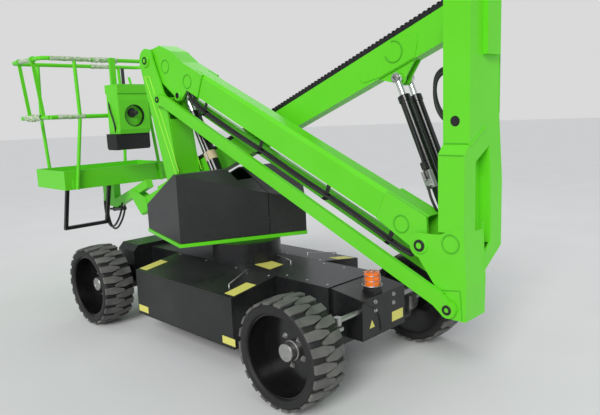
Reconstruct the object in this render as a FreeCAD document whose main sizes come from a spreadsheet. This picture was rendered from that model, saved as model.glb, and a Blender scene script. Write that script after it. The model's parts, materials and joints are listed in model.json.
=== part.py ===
"""Articulating boom lift: a narrow self-propelled machine, stowed for travel.

Millimetres, +X towards the basket, +Y to the machine's left, +Z up. The origin lies on the
ground, under the middle of the overall length. Each size is a cell of the sheet, each piece a
body whose sketches, pads and placement are tied to those cells.
"""
import FreeCAD, Part
import math
import os
import Sketcher

os.makedirs("parts", exist_ok=True)
doc = FreeCAD.newDocument("boom_lift")
sheet = doc.addObject("Spreadsheet::Sheet", "Sizes")


class Size:
    """A number together with the formula, in cells of the sheet, that it comes from."""

    def __init__(self, value, text):
        self.value = float(value)
        self.text = text

    def __add__(self, other):
        other = sized(other)
        return Size(self.value + other.value, "(%s + %s)" % (self.text, other.text))

    def __sub__(self, other):
        other = sized(other)
        return Size(self.value - other.value, "(%s - %s)" % (self.text, other.text))

    def __mul__(self, other):
        other = sized(other)
        return Size(self.value * other.value, "(%s * %s)" % (self.text, other.text))

    def __truediv__(self, other):
        other = sized(other)
        return Size(self.value / other.value, "(%s / %s)" % (self.text, other.text))

    def __radd__(self, other):
        return sized(other) + self

    def __rsub__(self, other):
        return sized(other) - self

    def __rmul__(self, other):
        return sized(other) * self

    def __neg__(self):
        return Size(-self.value, "(0 - %s)" % self.text)


def sized(value):
    """Take a plain number as a Size."""
    if isinstance(value, Size):
        return value
    return Size(value, "(%.9g)" % value)


def cosine(angle):
    return Size(math.cos(math.radians(angle.value)), "cos(%s)" % angle.text)


def sine(angle):
    return Size(math.sin(math.radians(angle.value)), "sin(%s)" % angle.text)


def span(run, rise):
    """Length of the straight line over a run and a rise."""
    return Size(math.hypot(run.value, rise.value), "sqrt(%s ^ 2 + %s ^ 2)" % (run.text, rise.text))


def steepness(run, rise):
    """Angle of that line above the horizontal, in degrees."""
    return Size(math.degrees(math.atan2(rise.value, run.value)), "atan2(%s; %s) / 1deg" % (rise.text, run.text))


def incline(length, rise):
    """Angle at which a length climbs that rise, in degrees."""
    return Size(math.degrees(math.asin(rise.value / length.value)), "asin(%s / %s) / 1deg" % (rise.text, length.text))


rows = []


def size(name, value):
    """Write one driving dimension into the sheet and hand it back."""
    row = len(rows) + 1
    rows.append(name)
    sheet.set("A%d" % row, name)
    sheet.set("B%d" % row, str(value))
    sheet.setAlias("B%d" % row, name)
    return Size(value, "Sizes." + name)


# Clearances
fit_gap = size("fit_gap", 0.3)
run_gap = size("run_gap", 0.08)

# Wheels and axles
wheel_base = size("wheel_base", 2137)
tyre_radius = size("tyre_radius", 310)
tyre_width = size("tyre_width", 240)
wheel_y = size("wheel_y", 630)
bead_radius = size("bead_radius", 236)
tread_depth = size("tread_depth", 18)
tread_chord = size("tread_chord", 3)
shoulder_width = size("shoulder_width", 28)
shoulder_drop = size("shoulder_drop", 12)
lug_width = size("lug_width", 45)
lug_slant = size("lug_slant", 12)
lug_lap = size("lug_lap", 14)
rim_wall = size("rim_wall", 10)
hub_cap = size("hub_cap", 50)
rim_width = size("rim_width", 204)
dish_inset = size("dish_inset", 30)
dish_wall = size("dish_wall", 12)
hub_radius = size("hub_radius", 75)
stub_radius = size("stub_radius", 30)
kingpin_y = size("kingpin_y", 400)
kingpin_radius = size("kingpin_radius", 14)
steer_arm = size("steer_arm", 135)
steer_rod_radius = size("steer_rod_radius", 15)
steer_rod_z = size("steer_rod_z", 440)

# Chassis
spine_half = size("spine_half", 230)
spine_low = size("spine_low", 250)
deck_top = size("deck_top", 555)
deck_plate = size("deck_plate", 6)
beam_lead = size("beam_lead", 128.5)
rear_lead = size("rear_lead", 68.5)
tray_length = size("tray_length", 1100)
tray_outer = size("tray_outer", 610)
tray_low = size("tray_low", 170)
tray_outer_top = size("tray_outer_top", 500)
tray_wall = size("tray_wall", 6)
rear_box_length = size("rear_box_length", 240)
rear_box_half = size("rear_box_half", 210)
rear_box_top = size("rear_box_top", 509)
rear_box_rise = size("rear_box_rise", 34)
rear_box_low = size("rear_box_low", 270)
beam_depth = size("beam_depth", 120)
front_beam_depth = size("front_beam_depth", 240)
front_beam_half = size("front_beam_half", 395)
front_beam_top = size("front_beam_top", 585)
front_beam_low = size("front_beam_low", 300)
motor_radius = size("motor_radius", 95)
tie_down_y = size("tie_down_y", 300)
tie_down_z = size("tie_down_z", 255)
tie_down_bore = size("tie_down_bore", 22)
tie_down_plate = size("tie_down_plate", 20)

# Slew ring and turntable
beacon_back = size("beacon_back", 190)
beacon_y = size("beacon_y", 50)
beacon_radius = size("beacon_radius", 45)
beacon_height = size("beacon_height", 80)
slew_radius = size("slew_radius", 250)
slew_split = size("slew_split", 625)
turntable_z = size("turntable_z", 700)
turntable_plate = size("turntable_plate", 25)
hood_wall = size("hood_wall", 8)
hood_gap = size("hood_gap", 5)
hinge_radius = size("hinge_radius", 8)
hinge_height = size("hinge_height", 70)

# Tower, lower boom and its links
tower_pin_x = size("tower_pin_x", 1010)
tower_pin_z = size("tower_pin_z", 2049)
tower_half = size("tower_half", 108)
tower_plate = size("tower_plate", 16)
link_pin_back = size("link_pin_back", 180)
link_pin_drop = size("link_pin_drop", 315)
boom_length = size("boom_length", 2831)
knuckle_height = size("knuckle_height", 866.02)
boom_half = size("boom_half", 70)
boom_above = size("boom_above", 147)
boom_below = size("boom_below", 28)
boom_wall = size("boom_wall", 6)
boom_bevel = size("boom_bevel", 22)
cheek_outer = size("cheek_outer", 80)
cheek_plate = size("cheek_plate", 18)
boom_pin_radius = size("boom_pin_radius", 30)
link_pin_radius = size("link_pin_radius", 18)
link_width = size("link_width", 30)
link_above = size("link_above", 62)
link_below = size("link_below", 25)
link_gap = size("link_gap", 5)

# Lift cylinder of the lower boom
lift_base_x = size("lift_base_x", 85)
lift_base_z = size("lift_base_z", 790)
lift_lug_back = size("lift_lug_back", 468)
lift_lug_drop = size("lift_lug_drop", 108)
lift_barrel_radius = size("lift_barrel_radius", 48)
lift_rod_radius = size("lift_rod_radius", 28)
lift_barrel_length = size("lift_barrel_length", 950)
lift_pin_radius = size("lift_pin_radius", 22)

# Post, measured from the pin that it hangs on at the lower boom
post_half = size("post_half", 108)
post_wall = size("post_wall", 10)
post_back = size("post_back", 254)
post_pad = size("post_pad", 27)
post_low = size("post_low", 374)
post_face = size("post_face", 105)
post_upper_y = size("post_upper_y", 53)
ledge_low = size("ledge_low", 488)
ledge_high = size("ledge_high", 536)
pocket_depth = size("pocket_depth", 60)
post_top = size("post_top", 1336)
post_far_top = size("post_far_top", 261)
post_far_low = size("post_far_low", 310)
upper_pin_back = size("upper_pin_back", 185)
upper_pin_rise = size("upper_pin_rise", 1246)
ear_radius = size("ear_radius", 68)

# Upper boom and its two cylinders
upper_y = size("upper_y", 200)
upper_slope = size("upper_slope", 21.4)
upper_half = size("upper_half", 46)
upper_depth = size("upper_depth", 174)
upper_wall = size("upper_wall", 6)
chain_half = size("chain_half", 20)
chain_height = size("chain_height", 30)
upper_pin_radius = size("upper_pin_radius", 25)
root_radius = size("root_radius", 54)
ram_lug_along = size("ram_lug_along", 587)
ram_lug_drop = size("ram_lug_drop", 141)
ram_base_back = size("ram_base_back", 59)
ram_base_rise = size("ram_base_rise", 36)
ram_spread = size("ram_spread", 60)
ram_radius = size("ram_radius", 32.5)
ram_rod_radius = size("ram_rod_radius", 18)
ram_length = size("ram_length", 826)
ram_pin_radius = size("ram_pin_radius", 20)

# Telescoping section and the basket's levelling bracket
inner_half = size("inner_half", 34)
inner_depth = size("inner_depth", 140)
inner_wall = size("inner_wall", 5)
inner_root = size("inner_root", 900)
inner_stickout = size("inner_stickout", 405)
level_pin_ahead = size("level_pin_ahead", 61)
level_reach = size("level_reach", 1870.87)
level_pin_up = size("level_pin_up", 178)
level_pin_radius = size("level_pin_radius", 18)

# Basket
basket_y = size("basket_y", -57)
floor_rise = size("floor_rise", 97)
floor_back = size("floor_back", 12)
floor_depth = size("floor_depth", 640)
post_inset = size("post_inset", 20)
floor_half = size("floor_half", 543)
floor_plate = size("floor_plate", 20)
toe_height = size("toe_height", 170)
toe_wall = size("toe_wall", 15)
rail_overhang = size("rail_overhang", 110)
rail_radius = size("rail_radius", 18)
rail_bend = size("rail_bend", 60)
rail_top = size("rail_top", 1150)
rail_mid = size("rail_mid", 650)

# Places that follow from those sizes, from mid-wheelbase on the ground
axle_x = wheel_base / 2
spine_front = axle_x - beam_lead
spine_rear = axle_x - rear_lead
boom_slope = incline(boom_length, tower_pin_z - knuckle_height)
knuckle_x = tower_pin_x - boom_length * cosine(boom_slope)
knuckle_z = knuckle_height
upper_pin_x = knuckle_x - upper_pin_back
upper_pin_z = knuckle_z + upper_pin_rise
level_pin_along = (level_reach - upper_pin_x - level_pin_up * sine(upper_slope)) / cosine(upper_slope)
inner_tip = level_pin_along - level_pin_ahead
upper_length = inner_tip - inner_stickout
level_x = level_reach
level_z = upper_pin_z - level_pin_along * sine(upper_slope) + level_pin_up * cosine(upper_slope)
front_reach = level_x - floor_back + floor_depth + rail_radius
rear_reach = knuckle_x - post_back - post_pad
mid_x = -(front_reach + rear_reach) / 2

PLANES = {"xy": ("XY_Plane", 1), "xz": ("XZ_Plane", -1), "yz": ("YZ_Plane", 1)}
bodies = []


def bind(thing, place, value):
    """Tie one property of a document object to its formula."""
    if isinstance(value, Size):
        thing.setExpression(place, value.text)


def piece(label, x=0, y=0, z=0, turn=None):
    """A sub-part with its own body, put at x, y, z and turned about the sideways axis."""
    body = doc.addObject("PartDesign::Body", label)
    body.Label = label
    angle = sized(turn if turn is not None else 0)
    spin = FreeCAD.Rotation(FreeCAD.Vector(0, 1, 0), angle.value if turn is not None else 0)
    base = FreeCAD.Vector(sized(x).value, sized(y).value, sized(z).value)
    body.Placement = FreeCAD.Placement(base, spin)
    bind(body, ".Placement.Base.x", x)
    bind(body, ".Placement.Base.y", y)
    bind(body, ".Placement.Base.z", z)
    if turn is not None:
        body.Placement = FreeCAD.Placement(base, FreeCAD.Rotation(FreeCAD.Vector(0, 1, 0), 1))
        bind(body, ".Placement.Rotation.Angle", turn)
    bodies.append(body)
    return body


def disc(x, y, radius):
    """A round outline, told from a polygon by its name."""
    return ("disc", x, y, radius)


def box_outline(x_low, y_low, x_high, y_high):
    """The four corners of an upright rectangle."""
    return [(x_low, y_low), (x_high, y_low), (x_high, y_high), (x_low, y_high)]


def draw(body, plane, level, loops):
    """A sketch on one of the body's own planes, moved along its normal to a level."""
    role, sense = PLANES[plane]
    support = [feature for feature in body.Origin.OriginFeatures if feature.Role == role][0]
    sketch = body.newObject("Sketcher::SketchObject", "Outline")
    sketch.AttachmentSupport = (support, "")
    sketch.MapMode = "FlatFace"
    offset = sized(level) * sense
    sketch.AttachmentOffset = FreeCAD.Placement(FreeCAD.Vector(0, 0, offset.value), FreeCAD.Rotation())
    bind(sketch, ".AttachmentOffset.Base.z", offset)
    for loop in loops:
        if loop[0] == "disc":
            draw_disc(sketch, *loop[1:])
        else:
            draw_polygon(sketch, loop)
    return sketch


def fix_point(sketch, geometry, corner, x, y):
    """Hold one point of a sketch at two bound distances from its origin."""
    for kind, value in (("DistanceX", sized(x)), ("DistanceY", sized(y))):
        index = sketch.addConstraint(Sketcher.Constraint(kind, -1, 1, geometry, corner, value.value))
        sketch.setExpression("Constraints[%d]" % index, value.text)


def draw_disc(sketch, x, y, radius):
    radius = sized(radius)
    centre = FreeCAD.Vector(sized(x).value, sized(y).value, 0)
    circle = Part.Circle(centre, FreeCAD.Vector(0, 0, 1), radius.value)
    index = sketch.addGeometry(circle, False)
    fix_point(sketch, index, 3, x, y)
    limit = sketch.addConstraint(Sketcher.Constraint("Radius", index, radius.value))
    sketch.setExpression("Constraints[%d]" % limit, radius.text)


def draw_polygon(sketch, points):
    corners = [FreeCAD.Vector(sized(x).value, sized(y).value, 0) for x, y in points]
    first = None
    count = len(points)
    for index in range(count):
        line = Part.LineSegment(corners[index], corners[(index + 1) % count])
        number = sketch.addGeometry(line, False)
        first = number if first is None else first
    for index in range(count):
        following = first + (index + 1) % count
        sketch.addConstraint(Sketcher.Constraint("Coincident", first + index, 2, following, 1))
    for index, (x, y) in enumerate(points):
        fix_point(sketch, first + index, 1, x, y)


def slab(body, plane, low, high, *loops):
    """Add the outlines as a plate between two levels along the plane's axis."""
    start = high if plane == "xz" else low
    pad = body.newObject("PartDesign::Pad", "Plate")
    pad.Profile = draw(body, plane, start, loops)
    pad.Length = (sized(high) - low).value
    bind(pad, "Length", sized(high) - low)
    body.Tip = pad
    return pad


def cut(body, plane, low, high, *loops):
    """Take the outlines away between two levels."""
    start = low if plane == "xz" else high
    pocket = body.newObject("PartDesign::Pocket", "Cut")
    pocket.Profile = draw(body, plane, start, loops)
    pocket.Length = (sized(high) - low).value
    bind(pocket, "Length", sized(high) - low)
    body.Tip = pocket
    return pocket


def post(body, x, low, foot, high, head, radius):
    """Add a round upright that leans sideways from its foot at one level to its head at another."""
    tube = body.newObject("PartDesign::AdditiveCylinder", "Upright")
    support = [feature for feature in body.Origin.OriginFeatures if feature.Role == "XY_Plane"][0]
    tube.AttachmentSupport = (support, "")
    tube.MapMode = "FlatFace"
    x, low, foot, high, head, radius = [sized(value) for value in (x, low, foot, high, head, radius)]
    lean = 90 - steepness(head - foot, high - low)
    base = FreeCAD.Vector(x.value, foot.value, low.value)
    tube.AttachmentOffset = FreeCAD.Placement(base, FreeCAD.Rotation(FreeCAD.Vector(-1, 0, 0), 1))
    bind(tube, ".AttachmentOffset.Base.x", x)
    bind(tube, ".AttachmentOffset.Base.y", foot)
    bind(tube, ".AttachmentOffset.Base.z", low)
    bind(tube, ".AttachmentOffset.Rotation.Angle", lean)
    tube.Radius = radius.value
    tube.Height = span(head - foot, high - low).value
    bind(tube, "Radius", radius)
    bind(tube, "Height", span(head - foot, high - low))
    body.Tip = tube
    return tube


def softened(points, bend):
    """A square-cornered line with each corner taken round in two short chords."""
    points = [(sized(x), sized(y)) for x, y in points]
    short = bend * (1 - math.sqrt(0.5))
    line = [points[0]]
    for index, (x, y) in enumerate(points[1:-1], 1):
        ways = []
        for other in (points[index - 1], points[index + 1]):
            run, rise = other[0].value - x.value, other[1].value - y.value
            length = math.hypot(run, rise)
            ways.append((run / length, rise / length))
        (ax, ay), (bx, by) = ways
        line.append((x + bend * ax, y + bend * ay))
        line.append((x + short * (ax + bx), y + short * (ay + by)))
        line.append((x + bend * bx, y + bend * by))
    return line + [points[-1]]


def bent_tube(body, level, corners, radius, bend):
    """Add a round tube that runs level through the corners; its first side runs along Y."""
    line = softened(corners, bend)
    path = draw(body, "xy", level, [])
    for index, ((x0, y0), (x1, y1)) in enumerate(zip(line, line[1:])):
        edge = Part.LineSegment(FreeCAD.Vector(x0.value, y0.value, 0), FreeCAD.Vector(x1.value, y1.value, 0))
        number = path.addGeometry(edge, False)
        if index:
            path.addConstraint(Sketcher.Constraint("Coincident", number - 1, 2, number, 1))
        fix_point(path, number, 1, x0, y0)
    fix_point(path, number, 2, x1, y1)
    x0, y0 = line[0]
    tube = body.newObject("PartDesign::AdditivePipe", "Tube")
    tube.Profile = draw(body, "xz", y0, [disc(x0, level, radius)])
    tube.Spine = (path, [])
    tube.Transition = "Right corner"
    body.Tip = tube
    return tube


def turned(body, points):
    """Revolve a half-section, given as radius and place along Y, about the body's Y axis."""
    wheel = body.newObject("PartDesign::Revolution", "Turned")
    sketch = draw(body, "xy", 0, [points])
    wheel.Profile = sketch
    wheel.ReferenceAxis = (sketch, ["V_Axis"])
    wheel.Angle = 360
    body.Tip = wheel
    return wheel


def mirrored(points, side):
    """The same outline on the left (1) or the right (-1), for outlines drawn over Y."""
    return [(x, sized(y) * side) for x, y in points]


def between(side, near, far):
    """Two levels on one side of the middle, lower first."""
    if side > 0:
        return near, far
    return -sized(far), -sized(near)


SIDES = (("left", 1), ("right", -1))
LUGS = 22


def make_chassis():
    frame = piece("chassis_frame", mid_x)
    slab(frame, "yz", -spine_rear, spine_front,
         box_outline(-spine_half, spine_low, spine_half, deck_top - deck_plate))
    for _, side in SIDES:
        floor = [(spine_half, tray_low), (tray_outer, tray_low),
                 (tray_outer, tray_outer_top - deck_plate), (spine_half, deck_top - deck_plate)]
        slab(frame, "yz", -tray_length / 2, tray_length / 2, [(side * y, z) for y, z in floor])
        hollow = [(spine_half + tray_wall, tray_low + tray_wall), (tray_outer - tray_wall, tray_low + tray_wall),
                  (tray_outer - tray_wall, deck_top), (spine_half + tray_wall, deck_top)]
        cut(frame, "yz", tray_wall - tray_length / 2, tray_length / 2 - tray_wall,
            [(side * y, z) for y, z in hollow])
    box_end = -spine_rear - rear_box_length
    slab(frame, "xz", -rear_box_half, rear_box_half,
         [(box_end, rear_box_low), (-spine_rear, rear_box_low), (-spine_rear, rear_box_top + rear_box_rise),
          (box_end, rear_box_top)])
    slab(frame, "yz", -axle_x - beam_depth / 2, beam_depth / 2 - axle_x,
         box_outline(30 - kingpin_y, tyre_radius - 69, kingpin_y - 30, tyre_radius + 69))
    for _, side in SIDES:
        slab(frame, "xy", tyre_radius - 75, tyre_radius + 75, disc(-axle_x, side * kingpin_y, 42))
        cut(frame, "xy", tyre_radius - 75, tyre_radius + 75,
            disc(-axle_x, side * kingpin_y, kingpin_radius + run_gap))
    cut(frame, "xz", -rear_box_half, rear_box_half,
        disc(-axle_x - steer_arm, steer_rod_z, steer_rod_radius + run_gap))

    deck = piece("centre_deck", mid_x)
    slab(deck, "xy", deck_top - deck_plate, deck_top,
         box_outline(-spine_rear, -spine_half, spine_front, spine_half))

    for name, side in SIDES:
        cover = piece("tray_cover_" + name, mid_x)
        outline = [(spine_half + fit_gap, deck_top - deck_plate), (tray_outer, tray_outer_top - deck_plate),
                   (tray_outer, tray_outer_top), (spine_half + fit_gap, deck_top)]
        slab(cover, "yz", -tray_length / 2, tray_length / 2, [(side * y, z) for y, z in outline])

        battery = piece("battery_" + name, mid_x)
        low, high = between(side, spine_half + 20, tray_outer - 20)
        slab(battery, "xz", low, high,
             box_outline(-tray_length / 2 + 40, tray_low + tray_wall, tray_length / 2 - 40, tray_outer_top - 60))

    cover = piece("rear_cover", mid_x)
    slab(cover, "xz", -rear_box_half, rear_box_half,
         [(box_end, rear_box_top), (-spine_rear - fit_gap, rear_box_top + rear_box_rise),
          (-spine_rear - fit_gap, rear_box_top + rear_box_rise + deck_plate), (box_end, rear_box_top + deck_plate)])

    base = piece("beacon_base", mid_x)
    beacon_low = rear_box_top + deck_plate
    foot = []
    for back in (beacon_back + 42, beacon_back - 42):
        foot.append((-spine_rear - back, beacon_low + fit_gap + rear_box_rise * (1 - back / rear_box_length)))
    beacon_seat = beacon_low + rear_box_rise + 16
    foot += [(foot[1][0], beacon_seat - 28), (foot[0][0], beacon_seat - 28)]
    slab(base, "xz", beacon_y - 42, beacon_y + 42, foot)
    slab(base, "xy", beacon_seat - 28, beacon_seat, disc(-spine_rear - beacon_back, beacon_y, beacon_radius + 7))
    lens = piece("beacon_lens", mid_x)
    slab(lens, "xy", beacon_seat, beacon_seat + beacon_height, disc(-spine_rear - beacon_back, beacon_y, beacon_radius))

    ring = piece("slew_base", mid_x)
    slab(ring, "xy", deck_top, slew_split, disc(0, 0, slew_radius))


def make_front_axle():
    axle = piece("front_axle", mid_x)
    shoulder = front_beam_top - 45
    slab(axle, "yz", spine_front, spine_front + front_beam_depth,
         [(-front_beam_half, front_beam_low), (front_beam_half, front_beam_low), (front_beam_half, shoulder),
          (front_beam_half - 45, front_beam_top), (45 - front_beam_half, front_beam_top), (-front_beam_half, shoulder)])
    stub_end = wheel_y - 8 - fit_gap
    slab(axle, "xz", -front_beam_half - 105, front_beam_half + 105, disc(axle_x, tyre_radius, motor_radius))
    slab(axle, "xz", -stub_end, stub_end, disc(axle_x, tyre_radius, stub_radius))

    face = spine_front + front_beam_depth
    for name, side in SIDES:
        plate = piece("tie_down_" + name, mid_x)
        middle = side * tie_down_y
        head = front_beam_low + 90
        slab(plate, "yz", face, face + tie_down_plate,
             [(middle - 45, head), (middle - 45, tie_down_z), (middle - 20, tie_down_z - 42),
              (middle + 20, tie_down_z - 42), (middle + 45, tie_down_z), (middle + 45, head)])
        cut(plate, "yz", face, face + tie_down_plate, disc(middle, tie_down_z, tie_down_bore))


def make_knuckles():
    for name, side in SIDES:
        knuckle = piece("knuckle_" + name, mid_x - axle_x, side * kingpin_y)
        top = tyre_radius + 75 + fit_gap
        low = tyre_radius - 75 - fit_gap
        arm = [(45, -35), (45, 65), (-45, 65), (-45, 5), (-steer_arm - 25, 5), (-steer_arm - 25, -35)]
        slab(knuckle, "xy", top, top + 20, mirrored(arm, side))
        slab(knuckle, "xy", low - 20, low, mirrored([(45, -35), (45, 65), (-45, 65), (-45, -35)], side))
        web_low, web_high = between(side, 50, 65)
        slab(knuckle, "xz", web_low, web_high, box_outline(-45, low - 20, 45, top + 20))
        slab(knuckle, "xy", low - 20, top + 20, disc(0, 0, kingpin_radius))
        drum_low, drum_high = between(side, 65, 110)
        slab(knuckle, "xz", drum_low, drum_high, disc(0, tyre_radius, hub_radius))
        stub_low, stub_high = between(side, 110, wheel_y - kingpin_y - 8 - fit_gap)
        slab(knuckle, "xz", stub_low, stub_high, disc(0, tyre_radius, stub_radius))

    rod = piece("steering_rod", mid_x - axle_x - steer_arm)
    reach = kingpin_y - 15
    slab(rod, "xz", -reach, reach, disc(0, steer_rod_z, steer_rod_radius))
    for _, side in SIDES:
        slab(rod, "xy", steer_rod_z - 22, steer_rod_z + 22, disc(0, side * reach, 22))


def around(label, radius, y):
    """A many-sided loop about the axle, with one side to each half pitch of the tread."""
    loop = doc.addObject("Part::RegularPolygon", label)
    loop.Polygon = 2 * LUGS
    loop.Circumradius = radius.value
    bind(loop, "Circumradius", radius)
    turn = FreeCAD.Rotation(FreeCAD.Vector(1, 0, 0), 90)
    loop.Placement = FreeCAD.Placement(FreeCAD.Vector(0, y.value, 0), turn)
    bind(loop, ".Placement.Base.y", y)
    return loop


def carcass(label):
    """The tyre without its tread: flat-sided, so that each bar stands on a flat."""
    edge = tyre_width / 2
    tread = tyre_radius - tread_depth
    stations = ((tread - shoulder_drop, -edge), (tread, shoulder_width - edge), (tread, edge - shoulder_width),
                (tread - shoulder_drop, edge))
    body = doc.addObject("Part::Loft", label + "_carcass")
    body.Sections = [around(label + "_loop", radius, y) for radius, y in stations]
    body.Solid = True
    body.Ruled = True
    hole = doc.addObject("Part::Prism", label + "_hole")
    hole.Polygon = 2 * LUGS
    flat = math.cos(math.pi / (2 * LUGS))
    hole.Circumradius = bead_radius.value / flat
    hole.Height = tyre_width.value + 20
    hole.Placement = FreeCAD.Placement(FreeCAD.Vector(0, edge.value + 10, 0), FreeCAD.Rotation(FreeCAD.Vector(1, 0, 0), 90))
    bind(hole, "Circumradius", bead_radius / flat)
    bind(hole, "Height", tyre_width + 20)
    bind(hole, ".Placement.Base.y", edge + 10)
    ring = doc.addObject("Part::Cut", label + "_ring")
    ring.Base, ring.Tool = body, hole
    return ring


def tread_row(body, sense, lead):
    """Tread bars from one shoulder to just past the middle, slanted and spread about the axle."""
    plane = body.newObject("PartDesign::Plane", "Row")
    roles = {feature.Role: feature for feature in body.Origin.OriginFeatures}
    plane.AttachmentSupport = (roles["YZ_Plane"], "")
    plane.MapMode = "FlatFace"
    plane.AttachmentOffset = FreeCAD.Placement(FreeCAD.Vector(), FreeCAD.Rotation(FreeCAD.Vector(1, 0, 0), lead))
    sketch = body.newObject("Sketcher::SketchObject", "Outline")
    sketch.AttachmentSupport = (plane, "")
    sketch.MapMode = "FlatFace"
    slant = lug_slant * sense
    back = (-lug_width / 2 * sine(slant), -lug_width / 2 * cosine(slant))
    sketch.AttachmentOffset = FreeCAD.Placement(FreeCAD.Vector(back[0].value, 0, back[1].value),
                                                FreeCAD.Rotation(FreeCAD.Vector(0, 1, 0), slant.value))
    bind(sketch, ".AttachmentOffset.Base.x", back[0])
    bind(sketch, ".AttachmentOffset.Base.z", back[1])
    top = tyre_radius - tread_chord
    root = tyre_radius - tread_depth - shoulder_drop - 10
    edge = tyre_width / 2 - 5
    draw_polygon(sketch, mirrored([(-lug_lap, root), (edge, root), (edge, top - 16), (edge - 18, top),
                                   (4 - lug_lap, top), (-lug_lap, top - 6)], sense))
    bar = body.newObject("PartDesign::Pad", "Bar")
    bar.Profile = sketch
    bar.Length = lug_width.value
    bind(bar, "Length", lug_width)
    body.Tip = bar
    tread = body.newObject("PartDesign::PolarPattern", "Tread")
    tread.Originals = [bar]
    tread.Axis = (roles["Y_Axis"], [""])
    tread.Angle = 360
    tread.Occurrences = LUGS
    body.Tip = tread


def make_wheels():
    rim_radius = bead_radius - fit_gap
    inner = rim_radius - rim_wall
    half = rim_width / 2
    bore = stub_radius + run_gap
    rim_outline = [(0, -8), (bore, -8), (bore, -62), (rim_radius, -half), (rim_radius, half), (inner, half),
                   (inner, dish_wall - dish_inset), (hub_cap, dish_wall - dish_inset), (hub_cap, 38), (0, 38)]
    for end, along in (("front", axle_x), ("rear", -axle_x)):
        for name, side in SIDES:
            where = (mid_x + along, side * wheel_y, tyre_radius)
            turned(piece("rim_%s_%s" % (end, name), *where), mirrored(rim_outline, side))
            tyre = piece("tyre_%s_%s" % (end, name), *where)
            tyre.BaseFeature = carcass(tyre.Label)
            tread_row(tyre, side, 0)
            tread_row(tyre, -side, 180 / LUGS)


hood_near = [(840, 300), (840, 115), (440, 115), (440, 62), (-5, 62), (-5, -85), (-162, -85), (110, 500)]
hood_far = [(840, -340), (840, -115), (440, -115), (440, -92), (-165, -92), (-285, -345), (-60, -545), (350, -560)]
roof_profile = [(-300, 955), (-130, 1050), (110, 1205), (160, 1205), (840, 920)]
plate_outline = [(845, 305), (112, 507), (-292, -345), (-62, -552), (352, -567), (845, -345)]


def make_turntable():
    base = piece("turntable_base", mid_x)
    slab(base, "xy", slew_split + fit_gap, turntable_z, disc(0, 0, slew_radius))
    slab(base, "xy", turntable_z, turntable_z + turntable_plate, plate_outline)
    floor = turntable_z + turntable_plate
    for side in (1, -1):
        low, high = between(side, 32, 50)
        outline = [(lift_base_x - 60, floor), (lift_base_x + 60, floor),
                   (lift_base_x + 40, lift_base_z + 20), (lift_base_x - 40, lift_base_z + 20)]
        slab(base, "xz", low, high, outline)
    slab(base, "xz", -50, 50, disc(lift_base_x, lift_base_z, lift_pin_radius))
    for x, y in HINGES:
        slab(base, "xy", floor, floor + hinge_height + 20, disc(x, y, hinge_radius))

    tower = piece("tower", mid_x)
    link_x = tower_pin_x - link_pin_back
    link_z = tower_pin_z - link_pin_drop
    side_plate = [(555, floor), (715, floor), (tower_pin_x + 88, tower_pin_z - 40),
                  (tower_pin_x - 80, tower_pin_z + 40), (link_x - 62, link_z), (link_x - 158, 1160)]
    for side in (1, -1):
        low, high = between(side, tower_half - tower_plate, tower_half)
        slab(tower, "xz", low, high, side_plate)
        slab(tower, "xz", low, high, disc(tower_pin_x, tower_pin_z, 95))
        slab(tower, "xz", low, high, disc(link_x, link_z, 65))
    slab(tower, "xz", tower_plate - tower_half, tower_half - tower_plate,
         [(703, floor), (715, floor), (1078, 1930), (1066, 1934)])
    slab(tower, "xz", tower_plate - tower_half, tower_half - tower_plate,
         [(567, floor), (580, floor), (684, 1160), (750, 1580), (738, 1580), (674, 1162)])
    slab(tower, "xz", -tower_half - 16, tower_half + 16, disc(tower_pin_x, tower_pin_z, boom_pin_radius))
    reach = tower_half + link_gap + link_width + 3
    slab(tower, "xz", -reach, reach, disc(link_x, link_z, link_pin_radius))

    unit = piece("power_unit", mid_x)
    slab(unit, "xy", floor, floor + 180, box_outline(120, 130, 480, 330))


def inset(points, gaps):
    """The outline with each edge moved inward by its own gap; a corner takes from both its edges."""
    area = sum(x0 * y1 - x1 * y0 for (x0, y0), (x1, y1) in zip(points, points[1:] + points[:1]))
    sense = 1 if area > 0 else -1
    normals = []
    for (x0, y0), (x1, y1) in zip(points, points[1:] + points[:1]):
        length = math.hypot(x1 - x0, y1 - y0)
        normals.append((-(y1 - y0) * sense / length, (x1 - x0) * sense / length))
    moved = []
    for index, (x, y) in enumerate(points):
        (ax, ay), (bx, by) = normals[index - 1], normals[index]
        before, after = sized(gaps[index - 1]), sized(gaps[index])
        cross = ax * by - ay * bx
        moved.append((x + before * (by / cross) + after * (-ay / cross),
                      y + before * (-bx / cross) + after * (ax / cross)))
    return moved


HINGES = ((820, 282), (820, -322))


def make_hood(label, outline, hinge, inner_edges):
    """One moulded half: an open shell, closed only by its roof and its outer walls."""
    x, y = hinge
    floor = turntable_z + turntable_plate + hood_gap
    gaps = [hood_wall if index == 0 or index > inner_edges else -20 for index in range(len(outline))]
    layers = []
    for layer, plan, low, drop in (("skin", outline, floor, 0), ("core", inset(outline, gaps), floor - 20, hood_wall)):
        body = doc.addObject("PartDesign::Body", label + "_" + layer)
        slab(body, "xy", low, 1215, plan)
        if layer == "core":
            cut(body, "xy", floor, floor + hinge_height, box_outline(x - 22, y - 22, x + 22, y + 22))
        else:
            cut(body, "xy", floor, floor + hinge_height, disc(x, y, hinge_radius + run_gap))
        sky = [(x, z - sized(drop) * 1.1) for x, z in [(-400, 900), *roof_profile, (900, 895)]]
        cut(body, "xz", -700, 700, sky + [(900, 1300), (-400, 1300)])
        layers.append(body)
    half = doc.addObject("Part::Cut", label)
    half.Base, half.Tool = layers
    half.Label = label
    half.Placement = FreeCAD.Placement(FreeCAD.Vector(mid_x.value, 0, 0), FreeCAD.Rotation())
    bind(half, ".Placement.Base.x", mid_x)
    bodies.append(half)


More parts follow.
